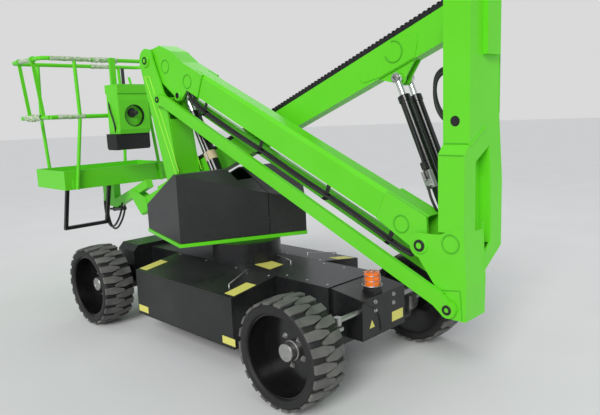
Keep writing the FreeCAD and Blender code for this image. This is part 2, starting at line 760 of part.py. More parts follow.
def bevelled(half, low, high, bevel):
    """An upright section with its two upper corners taken off."""
    return [(-half, low), (half, low), (half, high - bevel), (half - bevel, high), (bevel - half, high),
            (-half, high - bevel)]


def make_lower_boom():
    turn = -boom_slope
    boom = piece("lower_boom", mid_x + tower_pin_x, 0, tower_pin_z, turn)
    tube_start = -560
    slab(boom, "yz", 45 - boom_length, tube_start,
         bevelled(boom_half, -boom_below, boom_above, boom_bevel),
         bevelled(boom_half - boom_wall, boom_wall - boom_below, boom_above - boom_wall, boom_bevel - boom_wall * 0.6))
    cheek = [(0, 92), (-110, 165), (-270, 176), (-430, boom_above), (-700, boom_above), (-700, -boom_below),
             (-560, -boom_below), (-lift_lug_back - 45, -lift_lug_drop - 20),
             (-lift_lug_back, -lift_lug_drop - 48), (-lift_lug_back + 45, -lift_lug_drop - 20),
             (-150, -80), (0, -92)]
    end_plate = [(-boom_length + 330, boom_above), (-boom_length + 45, boom_above), (-boom_length, 60),
                 (-boom_length, -60), (-boom_length + 330, -boom_below)]
    for side in (1, -1):
        low, high = between(side, cheek_outer - cheek_plate, cheek_outer)
        slab(boom, "xz", low, high, cheek)
        slab(boom, "xz", low, high, disc(0, 0, 92))
        slab(boom, "xz", low, high, end_plate)
        slab(boom, "xz", low, high, disc(-boom_length, 0, 60))
        low, high = between(side, 37, cheek_outer - cheek_plate)
        slab(boom, "xz", low, high, disc(-lift_lug_back, -lift_lug_drop, 38))
    slab(boom, "xz", cheek_plate - cheek_outer, cheek_outer - cheek_plate,
         [(-110, 165), (-270, 176), (-430, boom_above), (-600, boom_above), (-600, boom_above - 8),
          (-430, boom_above - 8), (-270, 168), (-110, 157)])
    cut(boom, "xz", -cheek_outer, cheek_outer, disc(0, 0, boom_pin_radius + run_gap))
    cut(boom, "xz", -cheek_outer, cheek_outer, disc(-boom_length, 0, boom_pin_radius + run_gap))
    cut(boom, "xz", -cheek_outer, cheek_outer, disc(-lift_lug_back, -lift_lug_drop, lift_pin_radius))

    for name, side in SIDES:
        link = piece("link_" + name, mid_x + tower_pin_x - link_pin_back, 0, tower_pin_z - link_pin_drop, turn)
        low, high = between(side, tower_half + link_gap, tower_half + link_gap + link_width)
        slab(link, "xz", low, high, box_outline(60 - boom_length, -link_below, -60, link_above))
        for along in (0, -boom_length):
            slab(link, "xz", low, high, disc(along, 0, 45))
        ends = [(20, -40), (80, -link_below), (80, link_above), (20, 40)]
        slab(link, "xz", low, high, [(-x, z) for x, z in ends])
        slab(link, "xz", low, high, [(x - boom_length, z) for x, z in ends])
        for along in (0, -boom_length):
            cut(link, "xz", low, high, disc(along, 0, link_pin_radius + run_gap))


def make_cylinder(name, x, z, run, rise, length, places, barrel_radius, rod_radius, eyes, y=0):
    """A barrel with its base eye at x, z and a rod whose eye lies at run, rise from there."""
    reach = span(run, rise)
    turn = -steepness(run, rise)
    base_pin, base_half, eye_pin, eye_half, eye_radius = eyes
    shoulder = base_pin + 56
    barrel = piece(name + "_barrel", mid_x + x, y, z, turn)
    rod = piece(name + "_rod", mid_x + x, y, z, turn)
    for place in places:
        place_low = sized(place) - base_half
        place_high = sized(place) + base_half
        slab(barrel, "xz", place_low, place_high, disc(0, 0, base_pin + 18))
        slab(barrel, "xz", place_low + 4, place_high - 4,
             [(base_pin + 4, -base_pin), (shoulder + 4, -base_pin), (shoulder + 4, base_pin), (base_pin + 4, base_pin)])
        slab(barrel, "yz", shoulder, length, disc(place, 0, barrel_radius))
        cut(barrel, "yz", shoulder + 16, length, disc(place, 0, rod_radius + run_gap))
        cut(barrel, "xz", place_low, place_high, disc(0, 0, base_pin + run_gap))
        slab(rod, "yz", shoulder + 40, reach - eye_pin - 4, disc(place, 0, rod_radius))
        slab(rod, "xz", sized(place) - eye_half, sized(place) + eye_half, disc(reach, 0, eye_radius))
        cut(rod, "xz", sized(place) - eye_half, sized(place) + eye_half, disc(reach, 0, eye_pin + run_gap))


def make_cylinders():
    lug_x = tower_pin_x - lift_lug_back * cosine(boom_slope) + lift_lug_drop * sine(boom_slope)
    lug_z = tower_pin_z - lift_lug_back * sine(boom_slope) - lift_lug_drop * cosine(boom_slope)
    make_cylinder("lift", lift_base_x, lift_base_z, lug_x - lift_base_x, lug_z - lift_base_z, lift_barrel_length,
                  (0,), lift_barrel_radius, lift_rod_radius,
                  (lift_pin_radius, 30, lift_pin_radius, 31, 48))
    ram_x = knuckle_x - ram_base_back
    ram_z = knuckle_z + ram_base_rise
    lug_x = upper_pin_x + ram_lug_along * cosine(upper_slope) - ram_lug_drop * sine(upper_slope)
    lug_z = upper_pin_z - ram_lug_along * sine(upper_slope) - ram_lug_drop * cosine(upper_slope)
    make_cylinder("upper", ram_x, ram_z, lug_x - ram_x, lug_z - ram_z, ram_length,
                  (ram_spread, -ram_spread), ram_radius, ram_rod_radius,
                  (ram_pin_radius, 25, ram_pin_radius, 12, 30), -upper_y)


def make_post():
    post = piece("post", mid_x + knuckle_x, 0, knuckle_z)
    pin_low = -link_pin_drop
    back = -post_back
    lean_low = (back - 14, -post_low)
    lean_mid = (back - 18, -185)
    ear = [lean_low, (-link_pin_back + 25, -post_low), (-link_pin_back + 52, pin_low - 18),
           (-link_pin_back + 40, pin_low + 38), (17, -63), (48, 48), (15, 66), (-post_face - 10, 70), (back, 125),
           lean_mid]
    for side, outer in ((1, post_half), (-1, post_half - 8)):
        low, high = between(side, outer - post_wall, outer)
        slab(post, "xz", low, high, ear)
        slab(post, "xz", low, high, disc(0, 0, ear_radius))
        slab(post, "xz", low, high, disc(-link_pin_back, pin_low, 55))

    # The column: a box below, set back sideways to a narrower one above a sloped ledge
    near = post_half - 7
    far = 8 - post_half
    slab(post, "yz", back, -post_face,
         [(near, 84), (near, ledge_low), (post_upper_y, ledge_high), (post_upper_y, post_top), (far, post_top), (far, 84)])
    cut(post, "xz", far, near,
        [(10 - post_face, post_top - 75), (10 - post_face, post_top + 15), (-post_face - 50, post_top + 15)])
    cut(post, "xz", post_upper_y - 20, post_upper_y, disc(68 - post_face * 2.295, 653, 27))

    # Rear plate and the wall of the open channel that the upper boom folds into
    inner_top = post_far_top - post_wall
    inner_low = post_far_low - post_wall
    slab(post, "yz", back, post_wall - post_back,
         [(far + 2, post_top), (-post_far_top, post_top), (-post_far_top, 720), (-post_far_low, 330),
          (-post_far_low, -40), (far, -165), (far + 8, -165), (far + 8, 90)])
    slab(post, "yz", back, -112,
         [(-inner_top, post_top), (-post_far_top, post_top), (-post_far_top, 720), (-post_far_low, 330),
          (-inner_low, 326), (-inner_top, 717)])
    slab(post, "yz", back, -112,
         [(-inner_low, 330), (-post_far_low, 330), (-post_far_low, -40), (far, -165), (far + 8, -165),
          (far + 8, -153), (far, -153), (-inner_low, -34)])
    slab(post, "xz", -post_far_low, -inner_low, [(-120, -34), (-120, 120), (-ram_base_back, ram_base_rise + 40),
                                                 (-ram_base_back, ram_base_rise - 40)])
    slab(post, "xz", -post_far_low, -inner_low, disc(-ram_base_back, ram_base_rise, 40))
    slab(post, "xz", far + 8, post_half - 8,
         [(back, 86), lean_mid, lean_low, (lean_low[0] + post_wall, -post_low), (lean_mid[0] + post_wall, -185),
          (back + post_wall, 86)])

    # Gusset pocket in the rear face, with its own floor and side wall
    pocket = [(-12, 444), (-157, 518), (-175, 360), (-189, 0), (-83, -76), (-12, -76)]
    cut(post, "yz", back, back + pocket_depth, pocket)
    slab(post, "yz", back + pocket_depth, back + pocket_depth + post_wall,
         [(far + 4, 489), (-157, 518), (-175, 360), (-189, 0), (far + 4, -64)])
    slab(post, "yz", back + post_wall / 2, back + pocket_depth + post_wall,
         [(-159, 522), (-177, 360), (-191, -6), (-181, -6), (-167, 360), (-149, 518)])
    slab(post, "yz", back - 4, back, [(50, 536), (-116, 620), (-120, 610), (44, 527)])
    slab(post, "yz", back - post_pad, back, box_outline(-215, 980, -75, post_top - 30))

    slab(post, "xz", -post_half - 16, post_half + 16, disc(0, 0, boom_pin_radius))
    reach = post_half + link_gap + link_width + 3
    slab(post, "xz", -reach, reach, disc(-link_pin_back, pin_low, link_pin_radius))
    slab(post, "xz", -inner_low, far, disc(-ram_base_back, ram_base_rise, ram_pin_radius))
    slab(post, "xz", -inner_top, far, disc(-upper_pin_back, upper_pin_rise, upper_pin_radius))
    near_face = upper_half - upper_y + fit_gap
    slab(post, "xz", near_face, far, disc(-upper_pin_back, upper_pin_rise, 45))
    slab(post, "xz", -inner_top, -upper_y - upper_half - fit_gap, disc(-upper_pin_back, upper_pin_rise, 45))


def make_upper_boom():
    half_depth = upper_depth / 2
    boom = piece("upper_boom", mid_x + upper_pin_x, -upper_y, upper_pin_z, upper_slope)
    slab(boom, "yz", 60, upper_length,
         box_outline(-upper_half, -half_depth, upper_half, half_depth),
         box_outline(upper_wall - upper_half, upper_wall - half_depth, upper_half - upper_wall, half_depth - upper_wall))
    for side in (1, -1):
        low, high = between(side, upper_half - 12, upper_half)
        slab(boom, "xz", low, high, [(0, -root_radius), (120, -half_depth), (120, half_depth), (0, root_radius)])
        slab(boom, "xz", low, high, disc(0, 0, root_radius))
        low, high = between(side, upper_half - 24, upper_half - 12)
        lug = [(ram_lug_along - 140, -half_depth + 3), (ram_lug_along - 38, -ram_lug_drop - 15),
               (ram_lug_along + 38, -ram_lug_drop - 15), (ram_lug_along + 140, -half_depth + 3)]
        slab(boom, "xz", low, high, lug)
        slab(boom, "xz", low, high, disc(ram_lug_along, -ram_lug_drop, 42))
    cut(boom, "xz", -upper_half, upper_half, disc(0, 0, upper_pin_radius + run_gap))
    cut(boom, "xz", -upper_half, upper_half, disc(ram_lug_along, -ram_lug_drop, ram_pin_radius))
    pad_y = inner_half + fit_gap
    pad_z = inner_depth / 2 + fit_gap
    slab(boom, "yz", upper_length - 80, upper_length,
         box_outline(1 - upper_half, 1 - half_depth, upper_half - 1, half_depth - 1),
         box_outline(-pad_y, -pad_z, pad_y, pad_z))

    chain = piece("cable_chain", mid_x + upper_pin_x, -upper_y, upper_pin_z, upper_slope)
    slab(chain, "yz", 150, upper_length - 330,
         box_outline(-chain_half, half_depth, chain_half, half_depth + chain_height))

    inner = piece("inner_boom", mid_x + upper_pin_x, -upper_y, upper_pin_z, upper_slope)
    deep = inner_depth / 2
    slab(inner, "yz", inner_root, inner_tip,
         box_outline(-inner_half, -deep, inner_half, deep),
         box_outline(inner_wall - inner_half, inner_wall - deep, inner_half - inner_wall, deep - inner_wall))
    shoe_y = upper_half - upper_wall - fit_gap
    shoe_z = half_depth - upper_wall - fit_gap
    slab(inner, "yz", inner_root, inner_root + 80,
         box_outline(-shoe_y, -shoe_z, shoe_y, shoe_z),
         box_outline(1 - inner_half, 1 - deep, inner_half - 1, deep - 1))
    for side in (1, -1):
        low, high = between(side, inner_half, inner_half + 10)
        slab(inner, "xz", low, high,
             [(inner_tip - 150, -deep + 10), (inner_tip, -deep + 10), (level_pin_along + 30, level_pin_up - 25),
              (level_pin_along - 30, level_pin_up + 25), (inner_tip - 150, deep - 10)])
        slab(inner, "xz", low, high, disc(level_pin_along, level_pin_up, 38))
    slab(inner, "xz", -inner_half - 10, inner_half + 10, disc(level_pin_along, level_pin_up, level_pin_radius))


def make_basket():
    bracket = piece("basket_bracket", mid_x + level_x, -upper_y, level_z)
    half = inner_half - fit_gap
    slab(bracket, "xz", -half, half,
         [(-276, 67), (0, -40), (340, -173), (600, -160), (600, -80), (350, -85), (0, 42), (-250, 140)])
    cut(bracket, "xz", -half, half, disc(0, 0, level_pin_radius + run_gap))
    slab(bracket, "xy", -110, floor_rise, box_outline(360, -35, 440, 35))
    slab(bracket, "xy", -110, floor_rise, box_outline(520, -35, 590, 35))

    where = (mid_x + level_x - floor_back, basket_y, level_z + floor_rise)
    floor = piece("basket_floor", *where)
    slab(floor, "xy", 0, toe_height, box_outline(post_inset, -floor_half, floor_depth - post_inset, floor_half))
    cut(floor, "xy", floor_plate, toe_height,
        box_outline(post_inset + toe_wall, toe_wall - floor_half, floor_depth - post_inset - toe_wall,
                    floor_half - toe_wall))

    rails = piece("basket_rails", *where)
    top_half = floor_half + rail_overhang
    mid_half = floor_half + rail_overhang * (rail_mid / rail_top)
    for side in (1, -1):
        loop = [(0, 0), (0, side * top_half), (floor_depth, side * top_half), (floor_depth, 0)]
        bent_tube(rails, rail_top, loop, rail_radius, rail_bend)
    loop = [(0, mid_half + 12), (0, -mid_half), (floor_depth, -mid_half), (floor_depth, mid_half + 12)]
    bent_tube(rails, rail_mid, loop, rail_radius, rail_bend)
    for along, foot, waist, head, plate in ((0, 441, 353, 361, 8), (floor_depth, 398, 436, 417, -8)):
        for side in (1, -1):
            post(rails, along, 0, side * foot, rail_mid, side * waist, rail_radius - 2)
            post(rails, along, rail_mid, side * waist, rail_top, side * head, rail_radius - 2)
            low, high = sorted((sized(along) + plate, sized(along) + plate * 2.5), key=lambda level: level.value)
            slab(rails, "yz", low, high, box_outline(side * foot - 30, 10, side * foot + 30, 90))

    gate = piece("basket_gate", where[0], basket_y + top_half, level_z + floor_rise + rail_top)
    drop = rail_mid - rail_top
    for along in (170, floor_depth - 170):
        slab(gate, "yz", sized(along) - 20, sized(along) + 20, disc(0, 0, rail_radius + 8))
        cut(gate, "yz", sized(along) - 20, sized(along) + 20, disc(0, 0, rail_radius + run_gap))
        slab(gate, "yz", sized(along) - 6, sized(along) + 6,
             [(-15, -rail_radius - 4), (15, -rail_radius - 4), (mid_half - top_half + 15, drop),
              (mid_half - top_half - 15, drop)])
    slab(gate, "yz", 40, floor_depth - 40, disc(mid_half - top_half, drop, rail_radius))

    hanger = piece("control_bracket", *where)
    slab(hanger, "xy", 840, 920, box_outline(-265, -190, -rail_radius - 22, 115))
    slab(hanger, "xz", -190, 115,
         [(-255, 480), (-60, 480), (-60, 840), (-255, 840), (-265, 780), (-265, 520)])
    cut(hanger, "yz", -265, -225, disc(-37, 640, 95))
    slab(hanger, "yz", -rail_radius - 28, -rail_radius, box_outline(-10, 850, 43, rail_top + rail_radius))
    slab(hanger, "xz", -52, -40, [(-240, 920), (-215, 920), (-190, 985), (-215, 985)])
    control = piece("control_box", *where)
    slab(control, "xz", -190, 150, [(-225, 335), (-85, 335), (-65, 355), (-65, 480), (-245, 480), (-245, 355)])

    step = piece("step_frame", *where)
    for across in (floor_half - 25, floor_half - 430):
        slab(step, "xz", across - 15, across + 15, [(30, 0), (60, 0), (160, -345), (130, -345)])
    slab(step, "xy", -375, -345, box_outline(125, floor_half - 445, 165, floor_half - 10))


make_chassis()
make_front_axle()
make_knuckles()
make_wheels()
make_turntable()
make_hood("hood_left", hood_near, HINGES[0], 5)
make_hood("hood_right", hood_far, HINGES[1], 3)
make_lower_boom()
make_cylinders()
make_post()
make_upper_boom()
make_basket()

doc.recompute()
for thing in doc.Objects:
    if "Invalid" in thing.State or "Error" in thing.State:
        raise RuntimeError("%s of %s did not build" % (thing.Name, [parent.Label for parent in thing.InList]))
faulty = [body.Label for body in bodies if body.Shape.isNull() or not body.Shape.isValid()]
if faulty:
    raise RuntimeError("no valid shape: " + ", ".join(faulty))
for body in bodies:
    body.Shape.exportStep("parts/%s.step" % body.Label)
    print("%-20s %2d solids  %10.1f cm3" % (body.Label, len(body.Shape.Solids), body.Shape.Volume / 1000))
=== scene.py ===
# %% [markdown]
# # An articulating boom lift, dressed
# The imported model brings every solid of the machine: chassis, wheels, booms, post and basket.
# It loads first as a fixed frame, and nothing in it is moved. Everything below gives those solids
# their finishes and adds what a solid model leaves plain, such as rounded tyres, hoses and welds.

# %% Load the frame
import bmesh
import bpy
import json
import math
from mathutils import Matrix, Vector, noise


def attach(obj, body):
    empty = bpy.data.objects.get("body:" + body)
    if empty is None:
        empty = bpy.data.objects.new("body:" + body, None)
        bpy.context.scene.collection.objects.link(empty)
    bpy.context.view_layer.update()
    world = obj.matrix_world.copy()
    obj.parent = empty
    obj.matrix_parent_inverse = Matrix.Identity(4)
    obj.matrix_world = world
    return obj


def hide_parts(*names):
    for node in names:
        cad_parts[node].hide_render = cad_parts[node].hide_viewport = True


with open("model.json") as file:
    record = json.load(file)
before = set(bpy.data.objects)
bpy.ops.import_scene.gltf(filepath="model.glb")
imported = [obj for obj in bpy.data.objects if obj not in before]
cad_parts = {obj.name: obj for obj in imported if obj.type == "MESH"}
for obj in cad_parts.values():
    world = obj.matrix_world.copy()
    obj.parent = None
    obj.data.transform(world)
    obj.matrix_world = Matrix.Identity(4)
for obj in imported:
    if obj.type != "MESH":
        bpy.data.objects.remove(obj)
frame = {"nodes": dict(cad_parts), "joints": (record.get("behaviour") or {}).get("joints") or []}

nodes = frame["nodes"]
pivots = {joint["name"]: Vector(joint["pos_m"]) for joint in frame["joints"] if joint.get("pos_m")}
WHEELS = [(end, side) for end in ("front", "rear") for side in ("left", "right")]
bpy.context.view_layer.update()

# %% [markdown]
# ## The camera
# The picture was taken by someone standing behind the machine's left rear wheel, at eye height.
# The lens and the place were worked out from the wheels, which are true circles 2.137 m apart,
# and from the upright post. Two turns give the view direction, and a third the tilt of the hand.

# %% Camera
rear_wheel = pivots["wheel_rear_left_spin"]
front_wheel = pivots["wheel_front_left_spin"]
middle_x = (rear_wheel.x + front_wheel.x) / 2
YAW, PITCH, ROLL = math.radians(-45.45), math.radians(-9.18), math.radians(-2.22)
forward = Vector((math.cos(YAW) * math.cos(PITCH), math.sin(YAW) * math.cos(PITCH), math.sin(PITCH)))
level_right = Vector((math.sin(YAW), -math.cos(YAW), 0))
level_up = level_right.cross(forward)
right = level_right * math.cos(ROLL) + level_up * math.sin(ROLL)
up = level_up * math.cos(ROLL) - level_right * math.sin(ROLL)

lens = bpy.data.cameras.new("camera")
lens.sensor_width = 36
lens.lens = 35.29
EYE = (middle_x - 3.2645, 2.7426, 1.5923)
camera = bpy.data.objects.new("camera", lens)
bpy.context.collection.objects.link(camera)
turn = Matrix((right, up, -forward)).transposed().to_4x4()
camera.matrix_world = Matrix.Translation(EYE) @ turn
bpy.context.scene.camera = camera
print("camera at", [round(value, 3) for value in camera.location])

# %% [markdown]
# ## Floor and light
# A pale floor that takes the machine's shadow, a wide soft sun high on the camera's side, a
# weaker lamp from the far side that draws the booms' edges, and a low one at the rear. The
# lights stay at the strength at which a colour renders about as it is written. The camera sees
# a plain pale backdrop in place of the sky, so that the far edge of the floor hardly shows.

# %% Floor, lamps and sky
SUN_ANGLE = 0.45

bm = bmesh.new()
bmesh.ops.create_circle(bm, cap_ends=True, radius=60, segments=96)
floor_mesh = bpy.data.meshes.new("floor")
bm.to_mesh(floor_mesh)
bm.free()
floor = bpy.data.objects.new("floor", floor_mesh)
bpy.context.collection.objects.link(floor)


def lamp(name, place, target, size, power):
    """A square soft lamp that looks at a point, or a wide soft sun where the size is 0."""
    light = bpy.data.lights.new(name, "AREA" if size else "SUN")
    if size:
        light.size = size
    else:
        light.angle = SUN_ANGLE
    light.energy = power
    holder = bpy.data.objects.new(name, light)
    bpy.context.collection.objects.link(holder)
    aim = (Vector(target) - Vector(place)).to_track_quat("-Z", "Y")
    holder.matrix_world = Matrix.Translation(place) @ aim.to_matrix().to_4x4()


lamp("key_sun", (-2.6, 5.2, 4.6), (0, 0, 0.9), 0, 2.1)
lamp("far_lamp", (3.5, -4.0, 5.0), (0, 0, 1.0), 3.5, 42)
lamp("low_lamp", (-5.5, -0.5, 2.2), (-1.5, 0, 0.9), 3.0, 18)
sky = bpy.data.worlds.new("sky")
bpy.context.scene.world = sky
sky.use_nodes = True
sky_tree = sky.node_tree
glow = sky_tree.nodes["Background"]
glow.inputs["Color"].default_value = (0.93, 0.95, 1.0, 1)
glow.inputs["Strength"].default_value = 0.50
backdrop = sky_tree.nodes.new("ShaderNodeBackground")
backdrop.inputs["Color"].default_value = (0.70, 0.70, 0.70, 1)
ray_kind = sky_tree.nodes.new("ShaderNodeLightPath")
either = sky_tree.nodes.new("ShaderNodeMixShader")
parts = (ray_kind.outputs["Is Camera Ray"], glow.outputs[0], backdrop.outputs[0])
for output, socket in zip(parts, either.inputs):
    sky_tree.links.new(output, socket)
sky_tree.links.new(either.outputs[0], sky_tree.nodes["World Output"].inputs["Surface"])
bpy.context.scene.view_settings.view_transform = "Standard"

# %% [markdown]
# ## A small language for finishes
# A finish is a little sum of patterns: noise for clouds, dust and grain, and the height above
# the ground to place them. Blender adds one node for each step, which is long to write by hand.
# The class below wraps a node's socket, so that `dust * 0.4 + 0.1` adds the Math nodes by
# itself. Every pattern reads Object coordinates, because each solid's own mesh already lies
# where it belongs.

# %% Sockets as expressions
def plug(tree, value, slot):
    """Link a field to a node's socket, or set the socket to a plain value."""
    if isinstance(value, Field):
        tree.links.new(value.socket, slot)
    else:
        slot.default_value = (*value, 1) if slot.type == "RGBA" else value


class Field:
    """A value or colour that a node gives out."""

    def __init__(self, tree, socket):
        self.tree = tree
        self.socket = socket

    def _math(self, operation, first, second, clamp=False):
        node = self.tree.nodes.new("ShaderNodeMath")
        node.operation = operation
        node.use_clamp = clamp
        for slot, value in zip(node.inputs, (first, second)):
            plug(self.tree, value, slot)
        return Field(self.tree, node.outputs[0])

    def __add__(self, other):
        return self._math("ADD", self, other)

    def __sub__(self, other):
        return self._math("SUBTRACT", self, other)

    def __mul__(self, other):
        return self._math("MULTIPLY", self, other)

    def __rsub__(self, other):
        return self._math("SUBTRACT", other, self)

    def clamp(self):
        return self._math("ADD", self, 0.0, clamp=True)

    def above(self, level, softness):
        """0 below the level, 1 above it, with a soft edge."""
        return self._math("MULTIPLY", self - (level - softness / 2), 1 / softness, clamp=True)


class Finish:
    """A material with its shader, and short ways to add patterns to it."""

    def __init__(self, name, color, roughness, metallic=0.0):
        self.material = bpy.data.materials.new(name)
        self.material.use_nodes = True
        self.tree = self.material.node_tree
        self.shader = self.tree.nodes["Principled BSDF"]
        self.shader.inputs["Base Color"].default_value = (*color, 1)
        self.shader.inputs["Roughness"].default_value = roughness
        self.shader.inputs["Metallic"].default_value = metallic
        self.place = Field(self.tree, self.tree.nodes.new("ShaderNodeTexCoord").outputs["Object"])
        self.slot = None

    def add(self, kind, output=0, **sockets):
        """One node with the values or links of its sockets."""
        node = self.tree.nodes.new(kind)
        for key, value in sockets.items():
            plug(self.tree, value, node.inputs[key])
        return Field(self.tree, node.outputs[output])

    def noise(self, scale, detail=3.0, stretch=(1, 1, 1)):
        """Cloudy noise from 0 to 1, stretched along the axes if asked."""
        place = self.add("ShaderNodeMapping", Vector=self.place, Scale=stretch)
        return self.add("ShaderNodeTexNoise", Vector=place, Scale=scale, Detail=detail)

    def height(self):
        """Metres above the ground."""
        return self.add("ShaderNodeSeparateXYZ", output=2, Vector=self.place)

    def blend(self, mask, first, second):
        """One colour where the mask is 0, the other where it is 1."""
        node = self.tree.nodes.new("ShaderNodeMix")
        node.data_type = "RGBA"
        for index, value in ((0, mask), (6, first), (7, second)):
            plug(self.tree, value, node.inputs[index])
        return Field(self.tree, node.outputs[2])

    def feed(self, name, field):
        self.tree.links.new(field.socket, self.shader.inputs[name])

    def tint(self, mask, first, second):
        self.feed("Base Color", self.blend(mask, first, second))

    def bump(self, field, strength, distance):
        self.feed("Normal", self.add("ShaderNodeBump", Height=field, Strength=strength, Distance=distance))


def dress(finish, *names):
    """Give CAD nodes this finish."""
    for name in names:
        for slot in nodes[name].material_slots:
            slot.material = finish.material


# %% [markdown]
# ## Lime green paint
# The booms, post and basket carry thick powder coat: glossy, a little wavy like orange peel,
# with a film of yard dust that gathers towards the ground. The wave is a fine noise in the
# bump, and the dust a coarse noise that grows as the height falls.
#
# Three more paints are mixed from it. A weld bead is so thin that the shadows beside it hardly
# render, so its green is darker, as painted shade for those shadows. The tower's edge beads are
# paler, a painted highlight for the light that their edges catch. The turntable is green above
# its bearing plate and black below it, painted shade for the shadow between the plate and the
# deck, by a mask on the height.

# %% Green paint
GREEN = (0.125, 0.690, 0.012)
DUST = (0.36, 0.34, 0.28)
PLATE_TOP = 0.7005


def painted(name, color, roughness, dust_amount, coat=0.10):
    """A painted metal: orange peel, cloudy sheen, and dust that thickens near the ground."""
    paint = Finish(name, color, roughness)
    cloud = paint.noise(3.0, 4.0)
    fine = paint.noise(38.0, 3.0)
    low = (1.0 - paint.height() * 0.45).clamp()
    dust = ((cloud * 0.6 + fine * 0.4).above(0.55, 0.35) * (low * 0.75 + 0.25) * dust_amount).clamp()
    clean = paint.blend(cloud, [channel * 0.9 for channel in color], [channel * 1.06 for channel in color])
    paint.tint(dust, clean, DUST)
    paint.feed("Roughness", (dust * 0.5 + (fine * 0.10 + (roughness - 0.05))).clamp())
    paint.shader.inputs["Coat Weight"].default_value = coat
    paint.shader.inputs["Coat Roughness"].default_value = 0.16
    paint.shader.inputs["Specular IOR Level"].default_value = 0.32
    paint.bump(paint.noise(160.0, 2.0), 0.12, 0.0006)
    return paint


green_paint = painted("lime_green_paint", GREEN, 0.38, 0.10)
# paler green for the tower's edge beads: a painted highlight for the light their edges catch
edge_highlight_green = painted("edge_highlight_green", (0.360, 0.860, 0.060), 0.35, 0.02)
# darker green for weld beads: painted shade for the thin shadows beside each bead
weld_shade_green = painted("weld_shade_green", (0.070, 0.470, 0.008), 0.40, 0.10)
bearing_green = painted("turntable_paint", GREEN, 0.36, 0.10)
# black below the plate top is painted shade for the shadow between the plate and the deck
over_plate = bearing_green.height().above(PLATE_TOP, 0.0006)
bearing_green.tint(over_plate, (0.010, 0.010, 0.011), GREEN)
dress(bearing_green, "turntable_base")
dress(green_paint, "tower", "lower_boom", "link_left", "link_right", "post", "upper_boom",
      "inner_boom", "basket_bracket", "basket_floor", "basket_rails", "basket_gate", "control_bracket")

# %% [markdown]
# ## Black paint, deck plate and moulded hood
# The chassis is painted satin black, the decks are duller where boots have been, the rims and
# barrels are glossy, and the hood is a moulded skin whose fine leather-like grain takes the
# place of the orange peel. All are dark greys, never pure black: what tells them apart is how
# wide their highlights spread.

# %% Black finishes
black_paint = painted("satin_black_paint", (0.008, 0.009, 0.010), 0.36, 0.05, coat=0.15)
deck_paint = painted("deck_black_paint", (0.013, 0.014, 0.015), 0.40, 0.09)
gloss_black = painted("gloss_black_rim", (0.004, 0.004, 0.0045), 0.24, 0.02, coat=0.4)
hood_skin = painted("moulded_hood", (0.021, 0.022, 0.023), 0.44, 0.05, coat=0.05)
hood_skin.bump(hood_skin.noise(420.0, 4.0), 0.25, 0.0005)
dark_plastic = painted("black_plastic", (0.012, 0.012, 0.013), 0.5, 0.06, coat=0.0)
dress(black_paint, "chassis_frame", "front_axle", "slew_base", "step_frame", "tie_down_left",
      "tie_down_right")
dress(gloss_black, "lift_barrel", "upper_barrel", *["rim_%s_%s" % wheel for wheel in WHEELS])
dress(deck_paint, "centre_deck", "tray_cover_left", "tray_cover_right", "rear_cover")
dress(hood_skin, "hood_left", "hood_right")
dress(dark_plastic, "battery_left", "battery_right", "power_unit", "beacon_base", "control_box")

# %% [markdown]
# ## Steel, chrome, rubber, amber and wrapping
# Knuckles and the tie rod are zinc plated, the cylinders' rods are ground and chromed. A tyre
# has two rubbers: its walls are still black, while the bars of its tread are grey with bloom and
# road dust. The beacon's lens is amber plastic with a faint glow, for the light that it scatters.
# Last come the yellow of the blank sign plates, the film on the rails and the paper tape.

# %% Metals, rubber, amber, film and tape
zinc = Finish("zinc_plate", (0.46, 0.46, 0.44), 0.38, 0.9)
zinc_cloud = zinc.noise(24.0, 4.0)
zinc.tint(zinc_cloud, (0.33, 0.33, 0.32), (0.56, 0.56, 0.54))
zinc.feed("Roughness", zinc_cloud * 0.25 + 0.28)
chrome = Finish("chromed_rod", (0.78, 0.79, 0.80), 0.12, 1.0)
chrome.feed("Roughness", chrome.noise(30.0, 2.0) * 0.10 + 0.20)


def rubber(name, clean, bloom, bloom_amount, grain):
    """Rubber with a cloudy bloom and a fine grain."""
    skin = Finish(name, clean, 0.7)
    patch = skin.noise(9.0, 6.0).above(0.50, 0.4) * bloom_amount
    speck = skin.noise(160.0, 3.0).above(0.62, 0.1) * 0.25
    skin.tint((patch + speck).clamp(), clean, bloom)
    skin.feed("Roughness", patch * 0.25 + 0.58)
    skin.bump(skin.noise(90.0, 4.0), grain, 0.001)
    return skin


wall_rubber = rubber("tyre_wall_rubber", (0.006, 0.006, 0.0065), (0.04, 0.039, 0.035), 0.20, 0.15)
tread_rubber = rubber("tread_rubber", (0.070, 0.071, 0.069), (0.19, 0.185, 0.168), 0.65, 0.35)
hose_rubber = rubber("hose_rubber", (0.012, 0.012, 0.013), (0.05, 0.05, 0.048), 0.3, 0.1)
amber = Finish("amber_lens", (0.95, 0.20, 0.012), 0.14)
amber_cloud = amber.noise(14.0, 2.0)
amber.tint(amber_cloud, (0.90, 0.16, 0.010), (1.0, 0.26, 0.02))
amber.shader.inputs["Transmission Weight"].default_value = 0.25
amber.shader.inputs["Emission Color"].default_value = (1.0, 0.22, 0.01, 1)
amber.shader.inputs["Emission Strength"].default_value = 0.18
plate_yellow = Finish("blank_yellow_plate", (0.72, 0.66, 0.10), 0.45)
plate_wear = plate_yellow.noise(60.0, 4.0)
plate_yellow.tint(plate_wear, (0.62, 0.60, 0.16), (0.80, 0.74, 0.14))
film = Finish("wrapping_film", (0.50, 0.60, 0.42), 0.32)
film_fold = film.noise(26.0, 5.0, stretch=(1, 1, 2.5))
film.tint(film_fold.above(0.5, 0.3), (0.22, 0.42, 0.14), (0.66, 0.70, 0.58))
film.feed("Roughness", film_fold * 0.4 + 0.15)
film.bump(film_fold, 0.6, 0.006)
tape = Finish("paper_tape", (0.62, 0.50, 0.30), 0.7)
tape.tint(tape.noise(70.0, 4.0), (0.52, 0.41, 0.24), (0.70, 0.58, 0.36))
dress(zinc, "knuckle_left", "knuckle_right", "steering_rod")
dress(chrome, "lift_rod", "upper_rod")
dress(amber, "beacon_lens")

